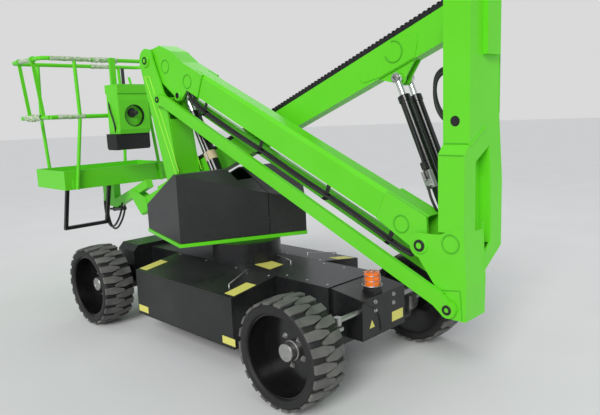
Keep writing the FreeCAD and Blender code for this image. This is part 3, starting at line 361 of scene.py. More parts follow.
# %% Slots
SLOTS = {  # the record's slot of the new pieces that carry these finishes
    "lime_green": (green_paint, weld_shade_green, edge_highlight_green),
    "black_plastic": (dark_plastic, gloss_black, hose_rubber),
    "bare_steel": (zinc,),
    "chassis_black": (black_paint,),
    "tyre": (wall_rubber, tread_rubber),
}
for slot, finishes in SLOTS.items():
    for finish in finishes:
        finish.slot = slot

# %% [markdown]
# ## The floor's finish
# Pale, matt concrete with a faint cloud, so that the black chassis stands out and its shadow
# falls softly.

# %% Floor finish
concrete = Finish("pale_floor", (0.74, 0.74, 0.73), 0.85)
floor_cloud = concrete.noise(1.5, 5.0)
concrete.tint(floor_cloud, (0.71, 0.71, 0.70), (0.77, 0.77, 0.76))
floor_mesh.materials.append(concrete.material)

# %% [markdown]
# ## Shapes from operators
# Each new piece starts as a bmesh: a flat outline that is extruded and bevelled, or a half
# section that is spun about an axis. A matrix then stands it where it belongs, so that the
# object itself stays at the origin.

# %% Plates, turned parts and tubes
def at(x, y, z):
    """A point measured from the middle of the wheelbase on the ground."""
    return Vector((middle_x + x, y, z))


def stand(place, normal, along):
    """A matrix whose local Z is the normal, whose local X runs along, and whose origin is the place."""
    z_way = Vector(normal).normalized()
    x_way = Vector(along)
    x_way = (x_way - z_way * x_way.dot(z_way)).normalized()
    turn = Matrix((x_way, z_way.cross(x_way), z_way)).transposed().to_4x4()
    return Matrix.Translation(place) @ turn


def settle(name, data, finish, body):
    """Make the object with its finish, and let it ride on a body."""
    data.materials.append(finish.material)
    piece = bpy.data.objects.new(name, data)
    bpy.context.collection.objects.link(piece)
    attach(piece, body)
    return piece


def finish_piece(name, bm, finish, body):
    """Turn the bmesh into a piece."""
    bmesh.ops.recalc_face_normals(bm, faces=bm.faces)
    mesh = bpy.data.meshes.new(name)
    bm.to_mesh(mesh)
    bm.free()
    print(name, "faces:", len(mesh.polygons))
    return settle(name, mesh, finish, body)


def smooth_shading(piece):
    """Shade a round piece smoothly."""
    for polygon in piece.data.polygons:
        polygon.use_smooth = True


def added(bm, before):
    """The vertices made since the set was taken."""
    return [vert for vert in bm.verts if vert not in before]


def whole(verts):
    """The vertices with their edges and faces, as spin wants them."""
    edges = list({edge for vert in verts for edge in vert.link_edges})
    faces = list({face for vert in verts for face in vert.link_faces})
    return verts + edges + faces


def inner_edges(bm, verts):
    """The edges with both ends in the list."""
    return [edge for edge in bm.edges if edge.verts[0] in verts and edge.verts[1] in verts]


def extruded(bm, corners):
    """Fill the corners with a face, extrude it, and give the new copy's vertices."""
    made = bmesh.ops.extrude_face_region(bm, geom=[bm.faces.new(corners)])["geom"]
    return [item for item in made if isinstance(item, bmesh.types.BMVert)]


def ease(bm, top, width):
    """Round the rim of a raised face."""
    bmesh.ops.bevel(bm, geom=inner_edges(bm, top), offset=width, segments=2, profile=0.5, affect="EDGES",
                    material=-1)


def plate(bm, place, outline, depth, bevel=0.0015):
    """A flat outline raised along local Z, with its upper rim eased."""
    corners = [bm.verts.new((x, y, 0)) for x, y in outline]
    top = extruded(bm, corners)
    bmesh.ops.translate(bm, verts=top, vec=(0, 0, depth))
    bmesh.ops.transform(bm, matrix=place, verts=corners + top)
    ease(bm, top, bevel)


def oblong(start, end, half):
    """A rectangle from start to end along local X, and half that wide to each side."""
    return [(start, -half), (end, -half), (end, half), (start, half)]


def spin(bm, geom, angle, steps, **options):
    """Spin about local Z."""
    bmesh.ops.spin(bm, geom=geom, cent=(0, 0, 0), axis=(0, 0, 1), dvec=(0, 0, 0), angle=angle, steps=steps,
                   **options)


def turned(bm, place, section, steps=32):
    """A half section of radius and height, spun about local Z."""
    before = set(bm.verts)
    points = [bm.verts.new((radius, 0, height)) for radius, height in section]
    lines = [bm.edges.new(pair) for pair in zip(points, points[1:])]
    spin(bm, points + lines, 2 * math.pi, steps, use_merge=True)
    bmesh.ops.remove_doubles(bm, verts=added(bm, before), dist=0.00001)
    bmesh.ops.transform(bm, matrix=place, verts=added(bm, before))


def disc(radius, low, high):
    """The half section of a plain round bar from low to high."""
    return [(0.0, low), (radius, low), (radius, high), (0.0, high)]


def prism(bm, place, radius, depth):
    """A bolt's head or another six-sided boss."""
    angles = [2 * math.pi * step / 6 for step in range(6)]
    plate(bm, place, [(radius * math.cos(angle), radius * math.sin(angle)) for angle in angles], depth)


def ring_bead(bm, place, radius, bead, sweep=2 * math.pi):
    """A weld bead laid in a circle, or over a part of one."""
    before = set(bm.verts)
    closed = sweep > 6.2
    upright = Matrix.Translation((radius, 0, 0)) @ Matrix.Rotation(math.pi / 2, 4, "X")
    made = bmesh.ops.create_circle(bm, cap_ends=not closed, radius=bead, segments=8, matrix=upright)
    start = made["verts"]
    spin(bm, start + inner_edges(bm, start), sweep, 40, use_merge=closed)
    bmesh.ops.transform(bm, matrix=place, verts=added(bm, before))


def tube(name, points, radius, finish, body, smooth=True):
    """A hose, pipe or bent bar along its points."""
    curve = bpy.data.curves.new(name, "CURVE")
    curve.dimensions = "3D"
    curve.bevel_depth = radius
    curve.bevel_resolution = 4
    curve.use_fill_caps = True
    curve.resolution_u = 10
    spline = curve.splines.new("NURBS" if smooth else "POLY")
    spline.points.add(len(points) - 1)
    for point, place in zip(spline.points, points):
        point.co = (*place, 1)
    if smooth:
        spline.order_u = 3
        spline.use_endpoint_u = True
    settle(name, curve, finish, body)


# %% [markdown]
# ## Tyres
# Solid rubber tyres with a block tread: two rows of bars, each from one shoulder to past the
# middle, where the noses of one row reach into the gaps of the other. The wall is a half
# section spun about the axle. One bar is drawn on the tread, raised away from the axle, eased,
# and then copied round with spin; the second row is the first one mirrored and turned by half
# a pitch. A texture could fake this, but not the sawtooth outline against the floor.

# %% Tyre walls and tread
TYRE_RADIUS = rear_wheel.z
BARS = 22


def tyre_wall(bm, place):
    """The carcass: bead, rounded walls and the tread's base."""
    half = [(0.2362, 0.113), (0.244, 0.118), (0.262, 0.1196), (0.279, 0.1165), (0.288, 0.108),
            (0.2915, 0.092), (0.2925, 0.0)]
    section = half + [(radius, -height) for radius, height in reversed(half[:-1])]
    turned(bm, place, section + [section[0]], steps=88)


def tread_row(bm, side, lead):
    """One row of bars about local Z, on the side of positive or negative Z."""
    outline = [(0.1165, -0.0255), (0.1165, 0.0255), (0.035, 0.0275), (-0.018, 0.014), (-0.033, 0.008),
               (-0.033, -0.008), (-0.018, -0.014), (0.035, -0.0275)]
    foot, crown = 0.286, 0.3095
    before = set(bm.verts)
    corners = []
    for across, around in outline:
        angle = (around + 0.10 * across) / TYRE_RADIUS
        corners.append(bm.verts.new((foot * math.cos(angle), foot * math.sin(angle), across)))
    top = extruded(bm, corners)
    reach = crown / foot
    bmesh.ops.scale(bm, verts=top, vec=(reach, reach, 1))
    shoulder = [vert for vert in top if vert.co.z > 0.11]
    bmesh.ops.scale(bm, verts=shoulder, vec=(0.972, 0.972, 1))
    ease(bm, top, 0.0028)
    bar = added(bm, before)
    bmesh.ops.rotate(bm, verts=bar, cent=(0, 0, 0), matrix=Matrix.Rotation(lead, 3, "Z"))
    if side < 0:
        bmesh.ops.scale(bm, verts=bar, vec=(1, 1, -1))
    spin(bm, whole(bar), 2 * math.pi / BARS * (BARS - 1), BARS - 1, use_duplicate=True)


def wheel_place(end, side):
    """At a wheel's centre, with local Z along the axle and away from the machine."""
    quarter = math.pi / 2 if side == "right" else -math.pi / 2
    return Matrix.Translation(pivots["wheel_%s_%s_spin" % (end, side)]) @ Matrix.Rotation(quarter, 4, "X")


for end, side in WHEELS:
    place = wheel_place(end, side)
    body = "wheel_%s_%s" % (end, side)
    bm = bmesh.new()
    tyre_wall(bm, place)
    wall = finish_piece("tyre_wall_%s_%s" % (end, side), bm, wall_rubber, body)
    smooth_shading(wall)
    bm = bmesh.new()
    tread_row(bm, 1, 0)
    tread_row(bm, -1, math.pi / BARS)
    bmesh.ops.transform(bm, matrix=place, verts=bm.verts)
    finish_piece("tread_%s_%s" % (end, side), bm, tread_rubber, body)
    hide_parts("tyre_%s_%s" % (end, side))

# %% [markdown]
# ## Hubs
# The rim is one deep black pressing, which the solid model already has. In its middle stands a
# steel cap, with a ring of plated bolts on the dish around it. The cap is a spun half section
# with an eased edge, and each bolt a washer, a six-sided head and the stud's round end.

# %% Hub caps and wheel bolts
CAP = [(0.0502, -0.0175), (0.0575, -0.0175), (0.0575, -0.006), (0.052, -0.004), (0.052, 0.036),
       (0.049, 0.0405), (0.030, 0.041), (0.029, 0.0395), (0.0, 0.0395)]
WASHER = [(0.0, 0.0035), (0.015, 0.0035), (0.016, 0.0), (0.0, 0.0)]
STUD = [(0.0, 0.0215), (0.0045, 0.021), (0.0055, 0.019), (0.0055, 0.013)]
BOLTS = 5
BOLT_SPOT = Matrix.Translation((0.088, 0, -0.018))

for end, side in WHEELS:
    place = wheel_place(end, side)
    bm = bmesh.new()
    turned(bm, place, CAP, steps=40)
    for step in range(BOLTS):
        spoke = Matrix.Rotation(2 * math.pi * step / BOLTS + 0.3, 4, "Z") @ BOLT_SPOT
        turned(bm, place @ spoke, WASHER, steps=20)
        prism(bm, place @ spoke @ Matrix.Translation((0, 0, 0.0035)), 0.0115, 0.010)
        turned(bm, place @ spoke, STUD, steps=12)
    finish_piece("hub_%s_%s" % (end, side), bm, zinc, "wheel_%s_%s" % (end, side))

# %% [markdown]
# ## Pins and their collars
# Most pivots show the same way: a raised collar on the plate, and in it the dark end of a pin
# with a round recess. They sit on the outer face of the plate that carries the pin, on both
# sides of the machine, except at the knuckle, whose far end the upper boom's channel hides. The
# links' pins have no collar.
#
# Points on an arm are given as a distance along it and a height above it, from the arm's pivot.

# %% Places on the arms
Y_WAY = Vector((0, 1, 0))
TOWER = pivots["lower_boom_lift"]
KNUCKLE = pivots["post_level"]
LINK = pivots["link_swing"]
UPPER = pivots["upper_boom_lift"]
UPPER_SLOPE = math.radians(21.4)
boom_way = (KNUCKLE - TOWER).normalized()
boom_up = Y_WAY.cross(boom_way)
upper_way = Vector((math.cos(UPPER_SLOPE), 0, -math.sin(UPPER_SLOPE)))
upper_up = Vector((math.sin(UPPER_SLOPE), 0, math.cos(UPPER_SLOPE)))


def on_boom(along, level, across=0.0):
    """A point of the lower boom."""
    return TOWER + boom_way * along + boom_up * level + Y_WAY * across


def on_upper(along, level, across=0.0):
    """A point of the upper boom."""
    return UPPER + upper_way * along + upper_up * level + Y_WAY * across


lift_eye = on_boom(0.468, -0.108)
link_foot = KNUCKLE + Vector((-0.180, 0, -0.315))
ram_eye = on_upper(0.587, -0.141)
BOOM_FACE = 0.080
CHEEK_FACE = 0.070
POST_FACE = 0.108
LINK_FACE = 0.1434
print("knuckle", KNUCKLE[:], "lift eye", lift_eye[:])


# %% Collars and pin ends
def collar(bm, place, radius, hole, thick):
    """A raised ring with an eased outer edge."""
    turned(bm, place, [(hole, 0.0), (hole, thick), (radius - 0.003, thick), (radius, thick - 0.003),
                       (radius, 0.0)])


def pin_end(bm, place, radius, reach):
    """The pin's end with a round recess sunk into it."""
    turned(bm, place, [(0.0, reach - 0.006), (radius * 0.5, reach - 0.006), (radius * 0.55, reach),
                       (radius - 0.003, reach), (radius, reach - 0.003), (radius, 0.0)], steps=30)


PINS = [  # name, centre, body, face, collar radius, pin radius, pin reach
    ("tower_pin", TOWER, "turntable", POST_FACE, 0.052, 0.031, 0.017),
    ("link_head_pin", LINK, "turntable", LINK_FACE, 0.0, 0.024, 0.008),
    ("lift_eye_pin", lift_eye, "lower_boom", BOOM_FACE, 0.040, 0.024, 0.010),
    ("knuckle_pin", KNUCKLE, "post", POST_FACE, 0.046, 0.032, 0.018),
    ("link_foot_pin", link_foot, "post", LINK_FACE, 0.0, 0.026, 0.008),
]
for name, centre, body, face, collar_radius, pin_radius, reach in PINS:
    dark = bmesh.new()
    green = bmesh.new()
    for side in (1, -1):
        if side < 0 and name == "knuckle_pin":
            continue
        place = stand((centre.x, side * face, centre.z), (0, side, 0), (1, 0, 0))
        pin_end(dark, place, pin_radius, reach)
        if collar_radius:
            collar(green, place, collar_radius, pin_radius + 0.0005, 0.010)
    finish_piece(name, dark, dark_plastic, body)
    if collar_radius:
        finish_piece(name + "_collar", green, green_paint, body)
    else:
        green.free()

# %% [markdown]
# ## Weld rings, doubler plates and seams
# Round plates are welded inside the arms and show as raised rings on the outside, and the lap
# joints show as fine straight beads. A ring is a small circle spun about its centre, and a
# seam a long thin plate with eased edges. Their green is darker, as painted shade for the thin
# shadows beside each bead. On each side of the upper boom a doubler plate is welded over the
# lug of its cylinders, with an open ring on it.

# %% Weld rings and doubler plates
BEAD = 0.0048
RINGS = [  # name, centre, outward face, radius, body
    ("boom_ring_upper", on_boom(0.235, 0.040), BOOM_FACE, 0.050, "lower_boom"),
    ("boom_ring_lower", on_boom(0.545, 0.036), BOOM_FACE, 0.050, "lower_boom"),
    ("boom_ring_rear", on_boom(2.664, 0.030), BOOM_FACE, 0.048, "lower_boom"),
    ("post_ring", at(-1.744, 0, 0.895), POST_FACE, 0.048, "post"),
]
for name, centre, face, radius, body in RINGS:
    bm = bmesh.new()
    for side in (1, -1):
        if side < 0 and body == "post":
            continue
        place = stand((centre.x, side * face, centre.z), (0, side, 0), boom_way)
        ring_bead(bm, place, radius, BEAD)
    # the rings' darker green is painted shade beside each bead
    finish_piece(name, bm, weld_shade_green, body)

bm = bmesh.new()
doubler = [(0.845, -0.030), (0.775, 0.080), (0.480, 0.080), (0.458, 0.050), (0.388, 0.046), (0.392, -0.004),
           (0.440, -0.082), (0.700, -0.082), (0.830, -0.060)]
for side in (1, -1):
    place = stand(UPPER + Y_WAY * (0.046 * side), (0, side, 0), upper_way)
    plate(bm, place, [(along, -side * level) for along, level in doubler], 0.005)
finish_piece("upper_boom_doubler", bm, green_paint, "upper_boom")
bm = bmesh.new()
for side in (1, -1):
    place = stand(on_upper(0.560, 0.010, side * 0.051), (0, side, 0), upper_way)
    ring_bead(bm, place, 0.060, BEAD, sweep=4.6)
# the open rings carry the same darker green, painted shade beside the bead
finish_piece("upper_boom_ring", bm, weld_shade_green, "upper_boom")


# %% Seams
def seam(bm, start, end, normal, width=0.006, proud=0.003):
    """A straight bead from start to end on a face with that normal."""
    way = Vector(end) - Vector(start)
    plate(bm, stand(start, normal, way), oblong(0, way.length, width / 2), proud, bevel=0.0014)


TOWER_HIGHLIGHT_LINES = [  # start and end, each as length and height
    ((1.038, 1.924), (0.694, 1.148)),
    ((0.971, 1.920), (0.650, 1.165)),
    ((1.038, 1.924), (0.971, 1.920)),
]
# pale strips along the tower's plate edges: a painted highlight for the light those edges catch
bm = bmesh.new()
for start, end in TOWER_HIGHLIGHT_LINES:
    for side in (1, -1):
        ends = [at(x, side * POST_FACE, z) for x, z in (start, end)]
        seam(bm, *ends, (0, side, 0), 0.009, 0.004)
finish_piece("tower_edge_highlights", bm, edge_highlight_green, "turntable")

bm = bmesh.new()
POST_SEAMS = [  # start, end, normal
    ((-1.686, 0.108, 0.640), (-1.800, 0.108, 0.655), (0, 1, 0)),
    ((-1.686, 0.108, 0.640), (-1.690, 0.108, 0.560), (0, 1, 0)),
    ((-1.800, 0.108, 0.655), (-1.812, 0.108, 0.500), (0, 1, 0)),
    ((-1.672, 0.101, 1.350), (-1.811, 0.101, 1.350), (0, 1, 0)),
    ((-1.672, 0.053, 1.406), (-1.811, 0.053, 1.406), (0, 1, 0)),
    ((-1.816, -0.262, 1.550), (-1.816, -0.262, 2.190), (-1, 0, 0)),
]
for start, end, normal in POST_SEAMS:
    seam(bm, at(*start), at(*end), normal)
# the post's seams carry the darker green, painted shade beside each bead
finish_piece("post_seams", bm, weld_shade_green, "post")

bm = bmesh.new()
for side in (1, -1):
    for along, top in ((0.700, 0.120), (2.498, 0.118)):
        ends = [on_boom(along, level, side * CHEEK_FACE) for level in (top, -0.024)]
        seam(bm, *ends, (0, side, 0))
# the boom's seams carry the darker green, painted shade beside each bead
finish_piece("boom_seams", bm, weld_shade_green, "lower_boom")

# %% [markdown]
# ## Cylinders
# Each barrel ends in a screwed gland, a ring a little wider than the tube, with a bright wiper
# where the rod comes out. A steel pipe runs along the lift cylinder on the side that shows, and
# a strip of paper tape is still wound around it. A ring on a tilted axis is the same spun half
# section as before, stood on a matrix whose local Z is the cylinder's line. The pins through
# the rods' eyes are drawn here, because the solid model only has the bores of their lugs.

# %% The cylinders' lines
lift_base = at(0.085, 0, 0.790)
lift_way = (lift_eye - lift_base).normalized()
lift_side = lift_way.cross(Y_WAY).normalized()
ram_base = at(-1.621, -0.200, 0.902)
ram_way = (ram_eye - ram_base).normalized()
ram_side = ram_way.cross(Y_WAY).normalized()


def on_ram(along, out, aside):
    """A point beside the upper pair of cylinders."""
    return ram_base + ram_way * along + Y_WAY * out + ram_side * aside


# %% Glands, wipers and eye pins
def gland(bm, origin, way, low, high, bore, radius):
    """A ring with eased edges from low to high along a cylinder."""
    place = stand(origin, way, Y_WAY)
    turned(bm, place, [(bore, low), (radius - 0.002, low), (radius, low + 0.002), (radius, high - 0.003),
                       (radius - 0.003, high), (bore, high), (bore, low)], steps=36)


LIFT = ("lift_barrel", [lift_base], lift_way)
RAMS = ("upper_barrel", [ram_base + Y_WAY * across for across in (0.060, -0.060)], ram_way)
GLANDS = [  # name, finish, cylinders, then low end, high end, bore and radius of each ring
    ("lift_gland", gloss_black, LIFT, [(0.905, 0.953, 0.0485, 0.053), (0.060, 0.085, 0.0485, 0.052)]),
    ("lift_wiper", zinc, LIFT, [(0.9505, 0.959, 0.0285, 0.040)]),
    ("ram_glands", gloss_black, RAMS, [(0.790, 0.829, 0.033, 0.037), (0.070, 0.092, 0.033, 0.036)]),
    ("ram_wipers", zinc, RAMS, [(0.8265, 0.833, 0.0185, 0.027)]),
]
for name, finish, (body, origins, way), rings in GLANDS:
    bm = bmesh.new()
    for origin in origins:
        for ring in rings:
            gland(bm, origin, way, *ring)
    finish_piece(name, bm, finish, body)

bm = bmesh.new()
turned(bm, stand(lift_eye, Y_WAY, boom_way), disc(0.0214, -0.080, 0.080))
finish_piece("lift_eye_shaft", bm, zinc, "lower_boom")
bm = bmesh.new()
turned(bm, stand(ram_eye, Y_WAY, upper_way), disc(0.0194, -0.082, 0.082), steps=30)
for side in (1, -1):
    place = stand(ram_eye + Y_WAY * (0.076 * side), (0, side, 0), upper_way)
    pin_end(bm, place, 0.024, 0.012)
finish_piece("ram_eye_shaft", bm, zinc, "upper_boom")

# %% Pipe, tape and ports on the lift cylinder
pipe_line = [(0.100, 0.030), (0.125, 0.052), (0.190, 0.056), (0.860, 0.056), (0.905, 0.056), (0.925, 0.048)]
beside = lift_base + lift_side * 0.022
tube("lift_pipe", [beside + lift_way * along + Y_WAY * out for along, out in pipe_line], 0.0055, zinc,
     "lift_barrel", smooth=False)
bm = bmesh.new()
gland(bm, lift_base, lift_way, 0.535, 0.605, 0.0482, 0.050)
finish_piece("tape_band", bm, tape, "lift_barrel")
bm = bmesh.new()
for along in (0.105, 0.920):
    port = stand(lift_base + lift_way * along + Y_WAY * 0.044, Y_WAY, lift_way)
    prism(bm, port @ Matrix.Translation((0, -0.014, 0)), 0.013, 0.018)
finish_piece("lift_ports", bm, zinc, "lift_barrel")

# %% [markdown]
# ## Valve block and hoses
# A plated valve block sits on the upper pair's near barrel, with a black coil, two fittings, a
# hose that drops to the cylinder's foot and one that rises to its gland. Hoses are curves with a
# round bevel. Three run below the lower boom in clamps, and two make a loop in front of the post.

# %% Valve block
block_spot = ram_base + Y_WAY * 0.0905 + ram_way * 0.320
block_place = stand(block_spot, Y_WAY, ram_way)
bm = bmesh.new()
plate(bm, block_place, oblong(-0.052, 0.052, 0.028), 0.036, bevel=0.003)
prism(bm, block_place @ Matrix.Translation((-0.030, 0, 0.036)), 0.013, 0.016)
prism(bm, block_place @ Matrix.Translation((0.004, 0.006, 0.036)), 0.010, 0.022)
finish_piece("valve_block", bm, zinc, "upper_barrel")
bm = bmesh.new()
coil = stand(block_spot + ram_way * 0.051 + Y_WAY * 0.020, ram_way, Y_WAY)
turned(bm, coil, [(0.0, 0.0), (0.012, 0.0), (0.012, 0.008), (0.019, 0.010), (0.019, 0.048), (0.016, 0.051),
                  (0.007, 0.051), (0.007, 0.060), (0.0, 0.062)], steps=28)
finish_piece("valve_coil", bm, dark_plastic, "upper_barrel")
drop = [(0.290, 0.134), (0.250, 0.150), (0.180, 0.150), (0.110, 0.128), (0.070, 0.106), (0.045, 0.092)]
tube("valve_hose", [on_ram(along, out, -0.004) for along, out in drop], 0.008, hose_rubber, "upper_barrel")
rise = [(0.324, 0.134), (0.350, 0.150), (0.470, 0.104), (0.640, 0.098), (0.760, 0.098), (0.806, 0.092)]
tube("ram_pipe", [on_ram(along, out, 0.006) for along, out in rise], 0.005, hose_rubber, "upper_barrel")

# %% Hoses below the lower boom
under_line = [(0.560, -0.030), (0.610, -0.070), (0.680, -0.104), (1.150, -0.110), (1.500, -0.100),
              (1.880, -0.106), (2.200, -0.096), (2.560, -0.104), (2.700, -0.112), (2.790, -0.100)]
HOSES = [("hose_outer", 0.074, 0.0), ("hose_middle", 0.054, 0.006), ("hose_inner", 0.034, 0.0)]
for name, across, lower in HOSES:
    points = [on_boom(along, level - lower, across) for along, level in under_line]
    tube(name, points, 0.0085, hose_rubber, "lower_boom")
bm = bmesh.new()
for along in (0.80, 1.45, 2.10, 2.62):
    hanger = stand(on_boom(along, -0.122, 0.064), boom_up, boom_way)
    plate(bm, hanger, oblong(-0.015, 0.015, 0.0015), 0.096, bevel=0.0006)
    strap = stand(on_boom(along, -0.125, 0.054), boom_up, boom_way)
    plate(bm, strap, oblong(-0.015, 0.015, 0.032), 0.004, bevel=0.001)
finish_piece("hose_clamps", bm, black_paint, "lower_boom")

# %% Hose loops in front of the post
loop_line = [(-1.680, -0.050, 1.790), (-1.620, -0.050, 1.800), (-1.565, -0.052, 1.765),
             (-1.552, -0.054, 1.700), (-1.560, -0.054, 1.630), (-1.590, -0.050, 1.570),
             (-1.640, -0.046, 1.530), (-1.680, -0.044, 1.520)]
for name, out in (("post_hose", 0.0), ("post_hose_lower", 0.022)):
    points = [at(x - out * 0.6, y + out, z - out) for x, y, z in loop_line]
    tube(name, points, 0.0105, hose_rubber, "post")
bm = bmesh.new()
for height in (1.780, 1.510):
    place = stand(at(-1.6675, -0.040, height), (1, 0, 0), (0, 0, 1))
    turned(bm, place, [(0.0, 0.0), (0.030, 0.0), (0.030, 0.005), (0.024, 0.009), (0.0, 0.010)], steps=24)
turned(bm, stand(at(-1.735, 0.044, 1.519), Y_WAY, (1, 0, 0)),
       [(0.0, 0.0), (0.0262, 0.0), (0.0262, 0.006), (0.024, 0.0082), (0.018, 0.007), (0.0, 0.0066)])
finish_piece("post_grommets", bm, dark_plastic, "post")

# %% [markdown]
# ## Cable chain
# The cable runs to the basket in a plastic chain, which lies in a tray on the upper boom between
# two anchors. One link is two side plates with round ends and two cross bars, and every second
# link is narrower, to fit inside its neighbours. A pair of them is drawn at the chain's start,
# and then repeated along the boom by copying its geometry and shifting each copy by two pitches.

# %% Chain links
chain_span = [(nodes["cable_chain"].matrix_world @ vert.co - UPPER).dot(upper_way)
              for vert in nodes["cable_chain"].data.vertices]
chain_start = min(chain_span)
chain_end = max(chain_span)
LINK_PITCH = 0.032
BOOM_TOP = 0.0872
CHAIN_FLOOR = 0.0886
chain_pairs = int((chain_end - chain_start - 0.080) / LINK_PITCH / 2)
print("chain from", chain_start, "to", chain_end, "links:", chain_pairs * 2 + 2)


def link_side(bm, along, across, thick):
    """One side plate of a link: a bar with round ends, standing along the boom."""
    origin = on_upper(along, CHAIN_FLOOR + 0.019, across)
    angles = [math.pi * (0.5 + step / 6) for step in range(7)]
    half = [(0.0175 * math.cos(angle), 0.0175 * math.sin(angle)) for angle in angles]
    outline = half + [(0.026 - x, -y) for x, y in half]
    plate(bm, stand(origin, Y_WAY, upper_way), outline, thick, bevel=0.0007)


def cross_bar(bm, along, level):
    """A bar across the chain with its ends over the side plates."""
    place = stand(on_upper(along, CHAIN_FLOOR + level), upper_up, upper_way)
    plate(bm, place, oblong(-0.008, 0.008, 0.029), 0.004, bevel=0.0008)


bm = bmesh.new()
for along, out in ((chain_start + 0.020, 0.0), (chain_start + 0.020 + LINK_PITCH, -0.0032)):
    link_side(bm, along, 0.024 + out, 0.003)
    link_side(bm, along, -0.027 - out, 0.003)
    cross_bar(bm, along + 0.013, 0.0365)
    cross_bar(bm, along + 0.013, 0.0002)
bmesh.ops.spin(bm, geom=whole(list(bm.verts)), cent=(0, 0, 0), axis=(0, 1, 0), angle=0,
               dvec=upper_way * LINK_PITCH * 2, steps=chain_pairs, use_duplicate=True)
links = finish_piece("chain_links", bm, dark_plastic, "upper_boom")
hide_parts("cable_chain")

# %% The chain's tray, anchors and cables
bm = bmesh.new()
tray = stand(on_upper(chain_start, BOOM_TOP), upper_up, upper_way)
plate(bm, tray, oblong(0.0, chain_end - chain_start, 0.034), 0.0014, bevel=0.0004)
for along in (chain_start + 0.002, chain_end - 0.024):
    anchor = stand(on_upper(along, BOOM_TOP), upper_up, upper_way)
    plate(bm, anchor, oblong(0.0, 0.020, 0.029), 0.040, bevel=0.002)
finish_piece("chain_tray", bm, dark_plastic, "upper_boom")
cable = [(chain_start + 0.010, 0.101), (chain_start - 0.040, 0.105), (0.060, 0.088), (0.020, 0.060),
         (0.006, 0.050)]
for name, across in (("chain_cable", 0.008), ("chain_hose", -0.008)):
    points = [on_upper(along, level, across) for along, level in cable]
    tube(name, points, 0.0068, hose_rubber, "upper_boom")

# %% [markdown]
# ## Deck details
# On the decks lie blank yellow sign plates, wire handles for the covers, and the lids' seams
# with their screws. A blank plate is a thin yellow sheet with nothing on it. The near and the
# far side trays carry the same ones. The end face of the rear box has two more, four bolts and
# a bent rib.

# %% Heights and faces of the deck
DECK_TOP = 0.555
DECK_FALL = 0.055
TRAY_START = 0.2303
TRAY_FACE = 0.610
BOX_FACE = -1.240
SHEET = 0.0012


def deck_height(y):
    """The tray cover's top at that distance from the middle."""
    return DECK_TOP - (abs(y) - TRAY_START) / (TRAY_FACE - TRAY_START) * DECK_FALL


def on_cover(x, y):
    """Lying on the sloping cover, at a place on the left or the right of the machine."""
    lean = Vector((0, math.copysign(DECK_FALL, y), TRAY_FACE - TRAY_START)).normalized()
    return stand(at(x, y, deck_height(y)), lean, (1, 0, 0))


# %% Sign plates
bm = bmesh.new()
for side in (1, -1):
    for x in (-0.497, 0.497):
        plate(bm, on_cover(x, side * 0.490), oblong(-0.046, 0.046, 0.092), SHEET, bevel=0.0004)
    for x in (0.480, -0.505):
        place = stand(at(x, side * TRAY_FACE, 0.216), (0, side, 0), (1, 0, 0))
        plate(bm, place, oblong(-0.062, 0.062, 0.024), SHEET, bevel=0.0004)
deck = stand(at(0, 0, DECK_TOP), (0, 0, 1), (1, 0, 0))
deck_sign = [(-0.224, 0.126), (-0.406, 0.152), (-0.388, 0.009), (-0.206, -0.017)]
plate(bm, deck, deck_sign, SHEET, bevel=0.0004)
box_face = stand(at(BOX_FACE, 0, 0), (-1, 0, 0), (0, -1, 0))
for outline in ([(0.076, 0.311), (0.190, 0.311), (0.190, 0.372), (0.076, 0.372)],
                [(-0.146, 0.332), (-0.098, 0.332), (-0.122, 0.378)]):
    plate(bm, box_face, outline, SHEET, bevel=0.0004)
finish_piece("blank_plates", bm, plate_yellow, "chassis")

# %% Wire handles
HANDLES = [  # name, start, end
    ("handle_left", (-0.418, 0.516), (-0.335, 0.295)),
    ("handle_right", (-0.418, -0.516), (-0.335, -0.295)),
    ("handle_middle", (-0.430, -0.025), (-0.202, -0.098)),
]
for name, start, end in HANDLES:
    low = [deck_height(y) if abs(y) > TRAY_START else DECK_TOP for x, y in (start, end)]
    points = [at(*start, low[0] - 0.002), at(*start, low[0] + 0.028)]
    points += [at(*end, low[1] + 0.028), at(*end, low[1] - 0.002)]
    tube(name, points, 0.0042, zinc, "chassis", smooth=False)

# %% Lid seams and screws
bm = bmesh.new()
for side in (1, -1):
    for z in (0.486, 0.178):
        ends = [at(x, side * TRAY_FACE, z) for x in (-0.542, 0.542)]
        seam(bm, *ends, (0, side, 0), 0.004, SHEET)
finish_piece("lid_seams", bm, black_paint, "chassis")
bm = bmesh.new()
SCREW = [(0.0, 0.0038), (0.004, 0.0036), (0.0085, 0.0015), (0.009, 0.0), (0.0, 0.0)]
for side in (1, -1):
    for x in (-0.600, -0.780, -0.950):
        turned(bm, stand(at(x, side * 0.180, DECK_TOP), (0, 0, 1), (1, 0, 0)), SCREW, steps=18)
    for x in (-0.500, -0.170, 0.170, 0.500):
        turned(bm, on_cover(x, side * 0.250), SCREW, steps=18)
for y, z in ((0.088, 0.481), (-0.093, 0.484), (-0.092, 0.430), (0.088, 0.430)):
    place = stand(at(BOX_FACE, y, z), (-1, 0, 0), (0, 0, 1))
    turned(bm, place, [(0.0, 0.003), (0.013, 0.003), (0.014, 0.0), (0.0, 0.0)], steps=20)
    prism(bm, place @ Matrix.Translation((0, 0, 0.003)), 0.0095, 0.007)
finish_piece("deck_screws", bm, zinc, "chassis")
rib = [(0.203, 0.504), (0.150, 0.486), (0.073, 0.426), (0.040, 0.360), (0.037, 0.292)]
tube("box_rib", [at(BOX_FACE - 0.0005, y, z) for y, z in rib], 0.0075, black_paint, "chassis")

# %% [markdown]
# ## Beacon guard
# The amber lamp stands inside a cage of plated wire: a wide foot ring, hoops and six wires that
# meet in a small ring on top. Each hoop is a circle spun about the lamp's axis.

